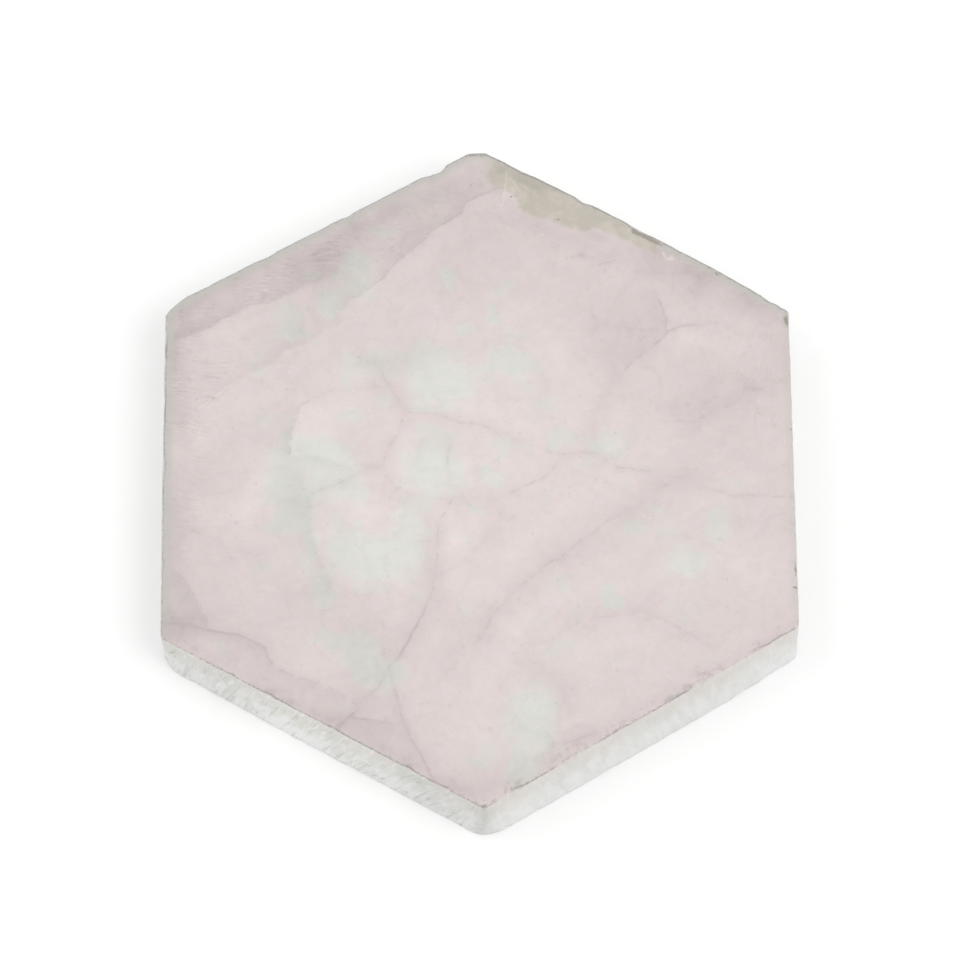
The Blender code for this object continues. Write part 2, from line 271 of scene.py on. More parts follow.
def edgeWear(side, spot, bite):
    # How far an edge is worn away at a spot, and how far its nicks and the uneven bed of a break go.
    worn = sides[side]["ragged"] * abs(noise.noise(spot / outline["nibbleSize"]))
    nick = max(0.0, noise.noise(spot / fineEdge["nickSize"]) - fineEdge["nickFrom"]) * fineEdge["nickDepth"]
    bed = bite * fineEdge["bedRough"] * noise.noise(spot / fineEdge["bedSize"])
    return worn, max(nick + bed, fineEdge["outMost"])


def arrisPoint(start, end, share):
    # A point on the slightly hollow, broken slope between a side and a face.
    rough = noise.noise(start * fineEdge["hollowSize"] + Vector((0, 0, share * 7)))
    point = start.lerp(end, share)
    inward = Vector((-point.x, -point.y, 0)).normalized()
    even, more = fineEdge["hollow"]
    return point + inward * (end - start).length * (even + more * max(0.0, rough))


def edgeRings():
    # The plate's skin as rings of points, from the underside's edge up to the upper face's.
    places = edgeStations()
    brim = [maker(index, share, 1.0) for maker, index, share in places]
    gone = [0.0]
    for here, beyond in zip(brim, brim[1:] + brim[:1]):
        gone.append(gone[-1] + (beyond - here).length)
    whole = gone.pop()
    middles = {index: far for (maker, index, share), far in zip(places, gone)
               if maker is cutPoint and share == 0.5}
    top, arris, levels = outline["thickness"], outline["arris"], outline["levels"]
    other = Vector(outline["otherEdge"])
    columns = []
    for number, (maker, index, share) in enumerate(places):
        chord = brim[(number + 1) % len(brim)] - brim[number - 1]
        out = Vector((chord.y, -chord.x)).normalized()
        spot = Vector((brim[number].x, brim[number].y, 0))
        upperBite, upperReach = breakAt(gone[number], middles, whole, upperBreaks)
        lowerBite, lowerReach = breakAt(gone[number], middles, whole, lowerBreaks)
        upperWorn, upperNick = edgeWear(index, spot, upperBite)
        lowerWorn, lowerNick = edgeWear(index, spot + other * outline["nibbleSize"], lowerBite)
        lowerWorn *= fineEdge["footWorn"]
        low = arris + lowerWorn + lowerReach
        high = top - arris - upperWorn - upperReach
        wall = []
        for level in range(levels):
            z = between(low, high, level / (levels - 1))
            point = maker(index, share, z / top)
            point = point + out * sawWave(index, point, z)
            wall.append(Vector((point.x, point.y, z)))
        foot = maker(index, share, 0.0) - out * (arris + lowerWorn + lowerBite + lowerNick)
        lip = brim[number] - out * (arris + upperWorn + upperBite + upperNick)
        foot, lip = Vector((foot.x, foot.y, 0)), Vector((lip.x, lip.y, top))
        lower = [arrisPoint(foot, wall[0], part) for part in fineEdge["middleRings"]]
        upper = [arrisPoint(wall[-1], lip, part) for part in fineEdge["middleRings"]]
        columns.append([foot, *lower, *wall, *upper, lip])
    return list(zip(*columns)), places


# The veins of the upper face, each through its own points. Line is how dark the thin line is at shares of
# its way, or how pale where it is under 0, and width its half width where it isn't the usual one. Valley
# is how much darker the stone is on both sides of it, and left and right on one side alone, each with the
# distance over which that fades. Fade is the share of its way over which that comes in and goes out
# again, and open an open crack's width and depth.
veins = {
    "longCrack": dict(width=0.35, open=(0.2, 0.05), valley=(0.22, 1.7), line=((0, 0.4), (0.05, 0.25),
              (0.15, 0.38), (0.21, 0.15), (0.26, 0.4), (0.35, 0.5), (0.43, 0.85), (0.5, 0.85), (0.54, 0.45),
              (0.62, 0.35), (0.66, 0.65), (0.7, 0.35), (0.8, 0.5), (1, 0.7)),
        points=((-5.1, -6.7), (-6.3, -8.7), (-6.5, -14.5), (-6.8, -17.9), (-7.1, -20.2), (-8.4, -23.6),
                (-9.8, -26.7), (-11.5, -30.1), (-12.6, -32), (-14, -33.7), (-13.5, -36.5), (-12.9, -38.2),
                (-12.4, -40.3), (-11.9, -42.8), (-11.2, -44.3), (-10.4, -46.3), (-9, -48.7), (-8.3, -50.6),
                (-7.4, -52.1), (-6.5, -53.5), (-5.9, -54.1))),
    "middleVein": dict(valley=(0.13, 1.2), line=((0, 0.3), (0.1, 0.28), (0.2, 0.38), (0.27, 0.1),
              (0.34, 0.12), (0.42, 0.28), (0.5, 0.25), (0.54, 0.15), (0.57, 0.42), (0.63, 0.42),
              (0.66, 0.15), (0.76, 0.1), (0.8, 0.32), (0.85, 0.32), (0.87, 0.58), (0.92, 0.45), (1, 0.3)),
        points=((-11.7, 10.5), (-6, 10.3), (-2.8, 8.7), (0.1, 8.6), (2.9, 7.2), (5.6, 5.9), (9.2, 4.3),
                (12.9, 3.1), (15.7, 3.4), (18.4, 3.2), (22.2, 0.6), (24.2, 0.4), (28.5, -0.2), (30.1, -0.9),
                (35.6, -2.9), (40.1, -4.3), (44.4, -4.5), (49.6, -4.7))),
    "middleRise": dict(valley=(0.17, 1.8), line=((0, 0.1), (1, 0.05)),
        points=((17.3, 3.6), (18.2, 6.5), (19.3, 12), (21.8, 16.6), (23.3, 18))),
    "returnVein": dict(valley=(0.1, 1.4), line=((0, 0.1), (0.1, 0.3), (0.28, 0.45), (0.35, 0.28),
              (0.45, 0.33), (0.55, 0.15), (0.75, 0.1), (0.9, 0.28), (1, 0.25)),
        points=((12.9, 3.1), (11.9, 0.4), (10.1, -1.3), (8.1, -2.2), (6, -3.2), (2.8, -4.9), (-4, -4.4),
                (-5.1, -6.7))),
    "innerVein": dict(valley=(0.1, 1.5), line=((0, 0.1), (0.3, 0.05), (0.4, 0.3), (0.6, 0.1), (0.75, 0.28),
              (1, 0.25)),
        points=((4.4, -5.8), (2.5, -9.3), (1.2, -11.9), (0.1, -13.1), (-2.4, -15.7), (-5.1, -17.3),
                (-6.7, -18.3))),
    "slantVein": dict(valley=(0.3, 2.4), line=((0, 0.1), (0.08, 0.05), (0.12, 0.3), (0.22, 0.15),
              (0.33, 0.35), (0.5, 0.4), (0.54, 0.45), (0.57, 0.2), (0.62, 0.4), (0.7, 0.35), (0.88, 0.35),
              (0.95, 0.2), (1, 0.25)),
        points=((35.7, 2.6), (34.1, -0.2), (30.9, -1.8), (28.8, -3.2), (25.6, -5.8), (22.4, -7.7),
                (20.6, -8.5), (18.7, -10.4), (15.9, -12.2), (13, -15.1), (10.8, -16.1), (9.8, -17.2),
                (6.7, -19.7), (3.8, -23), (2.4, -24.5), (0.8, -28.1), (-0.9, -30.2), (-2.8, -32),
                (-4, -33.5), (-7, -37))),
    "slantTop": dict(width=0.5, valley=(0.2, 2.6), line=((0, 0.05), (0.25, 0.15), (0.35, 0.33), (0.5, 0.15),
              (0.7, 0.3), (1, 0.45)),
        points=((35.7, 2.6), (35.1, 9.3), (38.1, 10.5), (42.1, 12.7), (42.8, 14.6), (45.4, 14.2))),
    "backVein": dict(width=0.35, valley=(0.1, 1.5), right=(0.3, 5), line=((0, 0.3), (0.15, 0.45),
              (0.27, 0.6), (0.5, 0.5), (0.6, 0.8), (0.7, 0.55), (1, 0.5)),
        points=((28.2, 33.6), (29.3, 30.7), (30.3, 27.4), (30.4, 24.7), (28.8, 22.6), (27.2, 21.3),
                (24.9, 19.4), (23.3, 17.9))),
    "backRight": dict(width=0.3, valley=(0.08, 1.2), left=(0.12, 3), line=((0, 0.6), (0.45, 0.55),
              (0.6, 0.4), (1, 0.45)), points=((30.4, 24.7), (33, 25.8), (36.4, 26), (38.8, 26.3))),
    "backLeft": dict(width=0.35, valley=(0.08, 1.2), line=((0, 0.46), (0.4, 0.38), (0.55, 0.1), (1, 0.15)),
        points=((29.1, 25.1), (26.6, 25.1), (23.4, 25.7), (17.3, 25.2))),
    "backHook": dict(width=0.3, valley=(0.08, 1.2), line=((0, 0.33), (0.3, 0.2), (0.6, 0.3), (1, 0.42)),
        points=((25.3, 35.6), (28.5, 35.4), (33, 35.2), (34.7, 35.8))),
    "backBarb": dict(width=0.3, valley=(0.08, 1.2), line=((0, 0.4), (0.35, 0.2), (0.6, 0.42), (1, 0.35)),
        points=((35.8, 35.2), (35.7, 33), (35.2, 31), (34.1, 33))),
    "shortHair": dict(width=0.25, valley=(0.05, 1), line=((0, 0.38), (1, 0.42)),
        points=((15.5, 38.6), (18.4, 38.4))),
    "longHair": dict(width=0.25, valley=(0.05, 1), line=((0, 0.3), (0.5, 0.42), (1, 0.42)),
        points=((18.2, 36.5), (19.7, 37), (21, 37.5), (22.4, 37.8))),
    "bandEdge": dict(width=0.35, valley=(0.05, 1), right=(0.42, 6), line=((0, 0.9), (0.06, 0.5),
              (0.12, 0.9), (0.2, 0.7), (0.3, 0.9), (0.38, 0.7), (0.55, 0.65), (0.7, 0.7), (0.78, 0.4),
              (0.83, 0.45), (0.88, 0.15), (1, 0.15)),
        points=((4.5, 51.4), (3.2, 51.2), (0.9, 49.9), (-1.6, 48.8), (-2.5, 46.6), (-4.5, 45.2),
                (-6.6, 43.9), (-8.7, 41.7), (-12.6, 38.2), (-15.6, 34.4), (-17.9, 32.4), (-20.3, 30.6),
                (-22.3, 27.8), (-23, 27))),
    "bandTail": dict(valley=(0.05, 1), left=(-0.15, 2.5), right=(0.25, 3), line=((0, 0.1), (0.5, 0.1),
              (1, 0.15)),
        points=((-23, 27), (-27, 23.1), (-30.8, 21.9), (-32.7, 19.5), (-37.1, 17.6), (-40.9, 13.7),
                (-44.5, 11.2))),
    "bandHair": dict(width=0.3, valley=(0.05, 1), line=((0, 0.55), (1, 0.55)),
        points=((-11.1, 43), (-11.9, 41.5), (-14, 40.1))),
    "leftBand": dict(width=0.35, right=(0.5, 9), fade=(0.5, 0.02), line=((0, 0), (0.3, 0.05), (0.35, 0.4),
              (0.5, 0.45), (0.58, 0.65), (0.7, 0.6), (0.74, 0.8), (0.82, 0.75), (0.86, 0.5), (0.92, 0.75),
              (1, 0.8)),
        points=((-14, 42.5), (-19, 39), (-23.5, 35), (-27.4, 33.6), (-29.6, 32.1), (-33.9, 30.5),
                (-36.7, 30), (-38.1, 28.8), (-41.1, 27.7), (-42.7, 26.2), (-45.6, 25), (-48.3, 23.8),
                (-49.4, 24.7))),
    "cellRise": dict(valley=(0.2, 1.6), line=((0, 0.1), (1, 0.3)),
        points=((-20, 21), (-16, 19), (-13.6, 14.8), (-11.7, 11.2))),
    "cellRound": dict(valley=(0.12, 1.2), left=(0.22, 1.8), line=((0, 0.4), (0.05, 0.45), (0.12, 0.28),
              (0.2, 0.1), (0.36, 0.05), (0.42, 0.25), (0.47, 0.4), (0.6, 0.38), (0.66, 0.3), (0.75, 0.1),
              (0.79, 0.38), (0.84, 0.42), (1, 0.35)),
        points=((-28.1, 12.2), (-25.3, 13.6), (-23.2, 14.6), (-16.5, 15), (-13.6, 14), (-11.7, 11.4),
                (-11.6, 10.5), (-12.5, 7.3), (-14.1, 4.5), (-15.3, 1.1), (-18, 0.6), (-20.7, -1.1),
                (-23.6, -2.5), (-26.2, -3.4))),
    "cellLeft": dict(left=(-0.2, 1.5), right=(0.35, 2.8), line=((0, 0.3), (0.4, 0.35), (0.7, 0.4),
              (1, 0.35)), points=((-28.1, 12.2), (-29.4, 7.4), (-29.9, 2.8))),
    "cellFloor": dict(left=(-0.15, 1.2), right=(0.2, 3), line=((0, 0.02), (1, 0.05)),
        points=((-29.9, 2.8), (-27.1, 3.3), (-24.7, 2.8), (-20.4, 1.2), (-18.8, 0.4))),
    "nextCell": dict(valley=(0.12, 1.2), line=((0, 0.1), (0.4, 0.25), (1, 0)),
        points=((-15.3, 0.6), (-12.8, -2.9), (-9.5, -4.2), (-5.1, -4.7), (-4, -3.9))),
    "nextRight": dict(valley=(0.12, 1), line=((0, 0.1), (0.5, 0.35), (0.7, 0.15), (1, 0.15)),
        points=((-4.3, 6.6), (-4.7, 2.3), (-4.7, -1.2), (-4.3, -3.3))),
    "bigCell": dict(right=(0.3, 3), line=((0, 0.1), (0.15, 0.3), (0.35, 0.33), (0.5, 0.15), (0.7, 0.3),
              (1, 0.33)),
        points=((-26.2, -3.4), (-26.2, -10.5), (-24.6, -15.4), (-23, -19.2), (-22.6, -21.8))),
    "leftVein": dict(valley=(0.12, 1.2), right=(0.35, 8), line=((0, 0.9), (0.15, 0.9), (0.2, 1), (0.3, 0.9),
              (0.4, 0.7), (0.5, 0.65), (0.7, 0.5), (0.85, 0.35), (1, 0.35)),
        points=((-48.7, -26), (-45.1, -26), (-43.8, -26.8), (-41, -27.4), (-37.9, -27.9), (-35.8, -28.8),
                (-33.6, -30.1), (-32.7, -32.2), (-31.6, -33.6), (-28.9, -35.1), (-25.3, -36.1),
                (-22.2, -37.7), (-18.9, -39.9))),
    "leftSector": dict(width=0.35, right=(0.4, 7), line=((0, 0.35), (0.2, 0.5), (0.5, 0.5), (1, 0.55)),
        points=((-48.7, -16.5), (-46.8, -17.7), (-45.2, -19.6), (-44.2, -21.7), (-43.6, -23.4),
                (-42.5, -25.3), (-42.7, -26.8))),
    "leftFaint": dict(valley=(0.1, 1.5), right=(0.12, 4), line=((0, 0.33), (0.15, 0.3), (0.3, 0.15),
              (0.8, 0.25), (1, 0.05)),
        points=((-47.8, -9.2), (-44.5, -10.1), (-41.3, -11.7), (-38.6, -13.1), (-34.9, -14.5),
                (-33.4, -18.2))),
    "frontCrack": dict(width=0.35, open=(0.2, 0.05), valley=(0.2, 2), line=((0, 0.4), (0.2, 0.25),
              (0.35, 0.35), (0.5, 0.1), (0.6, 0.3), (0.75, 0.8), (1, 0.8)),
        points=((-14, -33.5), (-15.8, -37.4), (-17.4, -38.6), (-19.1, -40.7), (-20.2, -42.1),
                (-21.7, -43.8), (-21.9, -44.3))),
    "frontLink": dict(width=0.35, open=(0.2, 0.05), right=(0.3, 6), line=((0, 0.7), (0.3, 0.55),
              (0.6, 0.15), (1, 0.4)), points=((-20.2, -42.1), (-16.6, -42.4), (-12.4, -43.3))),
    "frontArc": dict(valley=(0.08, 1.5), left=(0.15, 3), line=((0, 0.1), (0.35, 0.1), (0.42, 0.42),
              (0.48, 0.3), (0.53, 0.38), (0.6, 0.28), (0.75, 0.33), (0.84, 0.45), (0.9, 0.2), (1, 0.25)),
        points=((5.3, -31.6), (7.8, -30.7), (11.4, -29.4), (14.4, -26.8), (17.7, -25.6), (20.9, -25.1),
                (25.1, -24.7), (25.7, -24.3), (28, -25.5), (30.8, -27.1), (33.4, -28.6), (35, -29.8),
                (36.7, -30.7), (39, -31.1))),
    "frontFold": dict(width=0.5, valley=(0.2, 2), line=((0, 0.05), (1, 0.05)),
        points=((5, -31), (9.5, -33.5), (12.6, -37.5), (14.5, -43))),
    "frontLip": dict(width=0.35, valley=(0.15, 1.3), line=((0, 0.2), (0.5, 0.35), (0.8, 0.5), (1, 0.45)),
        points=((8, -50), (11.5, -47), (15.1, -46.1), (18.7, -44.8))),
    "flakeEnd": dict(width=0.35, valley=(0.1, 1), line=((0, 0.1), (0.5, 0.1), (0.75, 0.6), (1, 1)),
        points=((36.4, -35), (39, -32.8), (42.6, -31.2), (46, -30.2))),
    "nearBarb": dict(width=0.3, valley=(0.1, 1), line=((0, 0.1), (0.4, 0.4), (0.7, 0.8), (1, 0.9)),
        points=((4.7, -52.4), (5.6, -53.2), (6.6, -54.2))),
    "backSquiggle": dict(width=0.3, valley=(0.05, 1), line=((0, 0.35), (0.3, 0.3), (0.6, 0.4), (1, 0.35)),
        points=((14.2, 37.9), (16.3, 38.5), (16.9, 39.2), (17.8, 38.4), (19.1, 38.3))),
    "stainCrease": dict(width=0.3, valley=(0.1, 0.8), line=((0, 0.5), (0.4, 0.75), (0.8, 0.6), (1, 0.3)),
        points=((6, 53.4), (6.5, 52.3), (7, 51.2), (8.1, 50.5), (9.1, 50.2), (11.3, 50.1), (12.6, 50.7))),
    "stainFoot": dict(width=0.3, valley=(0.05, 1), line=((0, 0.4), (0.5, 0.5), (1, 0.2)),
        points=((4.4, 51), (4, 49.8), (4.1, 48.4))),
    "stainFold": dict(width=0.3, valley=(0.1, 1), line=((0, 0.3), (0.5, 0.6), (1, 0.3)),
        points=((16.2, 46), (17.6, 45.6), (18.9, 46.1), (19.6, 47.2))),
    "paleRun": dict(line=((0, -0.3), (0.4, -0.45), (0.7, -0.35), (1, -0.2)),
        points=((5, 54.4), (4.9, 53), (4.7, 51.5), (4.3, 49.5), (4.2, 47))),
    "paleFork": dict(width=0.35, line=((0, -0.3), (1, -0.2)),
        points=((5.2, 53.2), (6.1, 52.4), (6.6, 51.2), (7.2, 49.9))),
    "bandGlint": dict(line=((0, -0.7), (0.4, -0.9), (1, -0.2)),
        points=((-44.2, 11.7), (-41.7, 13.3), (-40.4, 14.9), (-38, 16.8))),
    "edgeScratch": dict(width=0.3, line=((0, 0.8), (1, 0.4)),
        points=((-49.9, 9.2), (-48.2, 9), (-46.4, 8.6))),
    "leftHair": dict(width=0.3, line=((0, 0.3), (0.4, 0.6), (1, 0.4)),
        points=((-44.6, 13.3), (-43, 13.6), (-41.2, 13))),
    "upperHair": dict(width=0.3, line=((0, 0.3), (0.5, 0.6), (1, 0.4)),
        points=((-44.6, 17.5), (-43.2, 17.4), (-41, 16.9))),
    "rightBar": dict(width=0.3, line=((0, 0.35), (0.5, 0.5), (1, 0.4)),
        points=((29.4, 8.8), (32.4, 8.7), (35.2, 8.8))),
    "rightTick": dict(width=0.3, line=((0, 0.5), (1, 0.4)), points=((44, 9.6), (44.3, 7.6))),
    "notch": dict(width=0.35, line=((0, 0.25), (1, 0.5)),
        points=((36.2, 35.4), (35.9, 33.4), (35.3, 31.1))),
    "notchArm": dict(width=0.3, line=((0, 0.3), (1, 0.4)), points=((34.8, 33.5), (35.2, 31.6))),
    "flakeRight": dict(width=0.3, valley=(0.08, 1), line=((0, 0.5), (1, 0.3)),
        points=((33.3, -35.8), (35.8, -34.6))),
}

# Milky patches of the upper face: middle, radii, how milky they are, and their turn in degrees if any.
patches = (
    (-5.6, 15.9, 6.6, 4.9, 0.95, -15), (-7.8, 21.6, 3.2, 2.5, 0.7), (-15.2, 19, 5.6, 3.2, 0.5),
    (-15, 12.6, 1.2, 1.6, 0.7), (5, 19.3, 4.7, 3, 0.95, 5), (5.5, 24.5, 2.2, 1.1, 0.45),
    (2.5, 28.5, 1.6, 1.5, 0.9), (3.8, 32.8, 2.1, 1.4, 0.8), (-2, 25.5, 1.7, 1.2, 0.9),
    (-4.5, 34.3, 1.4, 2.4, 0.95, 15), (-1.3, 30.2, 1.1, 0.8, 0.4), (11.5, 11.7, 1.4, 1.5, 0.8),
    (8.8, 11, 1.7, 2.4, 0.35), (8, 14.4, 1.3, 1, 0.6), (13.2, 5.9, 2.7, 1.9, 0.75, -20),
    (3.6, 4.3, 1.9, 1.5, 0.75), (2.6, -0.9, 2.6, 1.9, 0.85), (7.6, 4.3, 1.3, 1, 0.6),
    (20.2, 4.8, 3.2, 2.3, 0.85), (22.2, 3.2, 1.8, 1.8, 0.6), (22.7, 7, 1.4, 2, 0.4),
    (17.4, 1.4, 1.2, 1.1, 0.5), (28, 1.6, 1.5, 1.2, 0.45), (23.3, -0.9, 1.2, 1.2, 0.4),
    (28.6, 7, 1.6, 1.6, 0.25), (-7.2, 0.2, 5.3, 4.9, 1), (-6.4, 6.6, 4, 2, 0.7), (-8.6, -6, 1.4, 1.6, 0.7),
    (-25.4, 2.8, 5.6, 3.9, 1, -15), (-30.4, 0.2, 4.2, 6.2, 0.9), (-21.2, -1.6, 3.8, 4.4, 0.75),
    (-24.8, -2.4, 3.6, 2.6, 0.8), (-18.4, -4.6, 1.4, 1.4, 0.6), (-30.6, 6.2, 1.3, 1.8, 0.6),
    (-29, -6.6, 3.6, 5, 0.85), (-32.4, -9.6, 2, 1.5, 0.75), (-26.5, -12.2, 1.7, 5, 0.9),
    (-27.8, -16.2, 1.6, 0.8, 0.6), (-15.8, -15.2, 6.6, 4.5, 1, -6), (-20.8, -13.4, 3, 4.2, 0.9),
    (-10.9, -11, 2.8, 5.2, 0.95), (-23, -8, 1.9, 1.8, 0.55), (-24.1, -21, 2, 3.4, 0.9),
    (-16.4, -20.4, 1.6, 1.2, 0.4), (-18.8, -30.6, 3.4, 3.6, 0.85), (-16.6, -34.2, 4.4, 2.9, 0.9, -10),
    (-24.6, -28.9, 3.4, 1.6, 0.65), (-12.4, -35.6, 1.8, 2.2, 0.6), (8.4, -42.8, 4.4, 6.4, 0.95),
    (7, -50, 3.2, 3.2, 0.8), (5.6, -52.4, 2.2, 1.8, 0.7), (1.4, -46.2, 1, 1.4, 0.55),
    (0.2, -49, 3.4, 1.8, 0.55, 15), (38, -9, 2.4, 3.8, 0.65), (32.9, -16, 4.4, 2.8, 0.82),
    (37.3, -12.2, 1, 1.2, 0.5), (24, -10, 2.2, 1.4, 0.55), (28.4, -7.2, 1.8, 1.2, 0.55),
    (30, -11, 1.8, 2.2, 0.45), (40.4, -2.2, 4.2, 1.5, 0.4, 8), (31.8, -24, 2, 2.6, 0.5),
    (29.4, -20.4, 1.7, 1, 0.4), (20.4, -21.6, 1.9, 2.3, 0.85), (12.7, -19.4, 2, 1.9, 0.55),
    (16, -24, 1.5, 1.8, 0.35), (12.6, -31, 3.2, 1.6, 0.45, 15), (9.2, -25.4, 2.2, 0.9, 0.4, 5),
    (23, -33.6, 3, 1, 0.35, -15), (36.2, -32.2, 1.6, 1.6, 0.35), (-19.2, 37.4, 2.8, 2.6, 0.95),
    (-23.2, 30, 2.1, 2.6, 0.9), (-20.8, 33.6, 3.6, 3, 0.55), (-18.7, 32.4, 2.3, 1.8, 0.75),
    (-30, 27.6, 2.8, 3.6, 0.65), (-30, 24.4, 3.7, 1.4, 0.8), (-34.6, 20.2, 1.5, 3.2, 0.6, -15),
    (-27, 35, 1.7, 1.1, 0.45), (-15.6, 42.8, 1.7, 1.5, 0.8), (-20.6, 18, 1.5, 4.2, 0.6),
    (-19.9, 9.9, 2.3, 1.5, 0.75), (-34.2, 9.4, 2.4, 1.2, 0.5), (-30.4, 8, 1.5, 2.4, 0.5),
    (-7.6, 47, 6.5, 4.5, 0.25, 35), (-34, -17.1, 1.6, 1.5, 0.75), (-8.7, -22, 1.8, 1.2, 0.45),
    (-2.4, -24, 1.4, 1.3, 0.45), (-3, -11.4, 2.4, 1, 0.4, -10), (-0.2, -7, 1.3, 1, 0.7),
    (-21.7, -40.4, 2.2, 1, 0.45, 20), (-20.4, 24.2, 1.6, 1, 0.45), (-9.9, 12, 2, 1.4, 0.5),
    (-11.8, 5.8, 1.3, 1.6, 0.45), (-20.4, -9.2, 1.8, 1.4, 0.45), (-24.5, -16.7, 1.4, 1.6, 0.45),
    (-13.2, 21, 1.6, 1.2, 0.35), (-20, 4.5, 1.6, 1.4, 0.55), (11.4, -3.8, 2, 0.9, 0.35, 15),
    (-40.4, -30, 1.6, 1.2, 0.5), (-46.6, -23, 2.4, 4.5, 0.25),
)

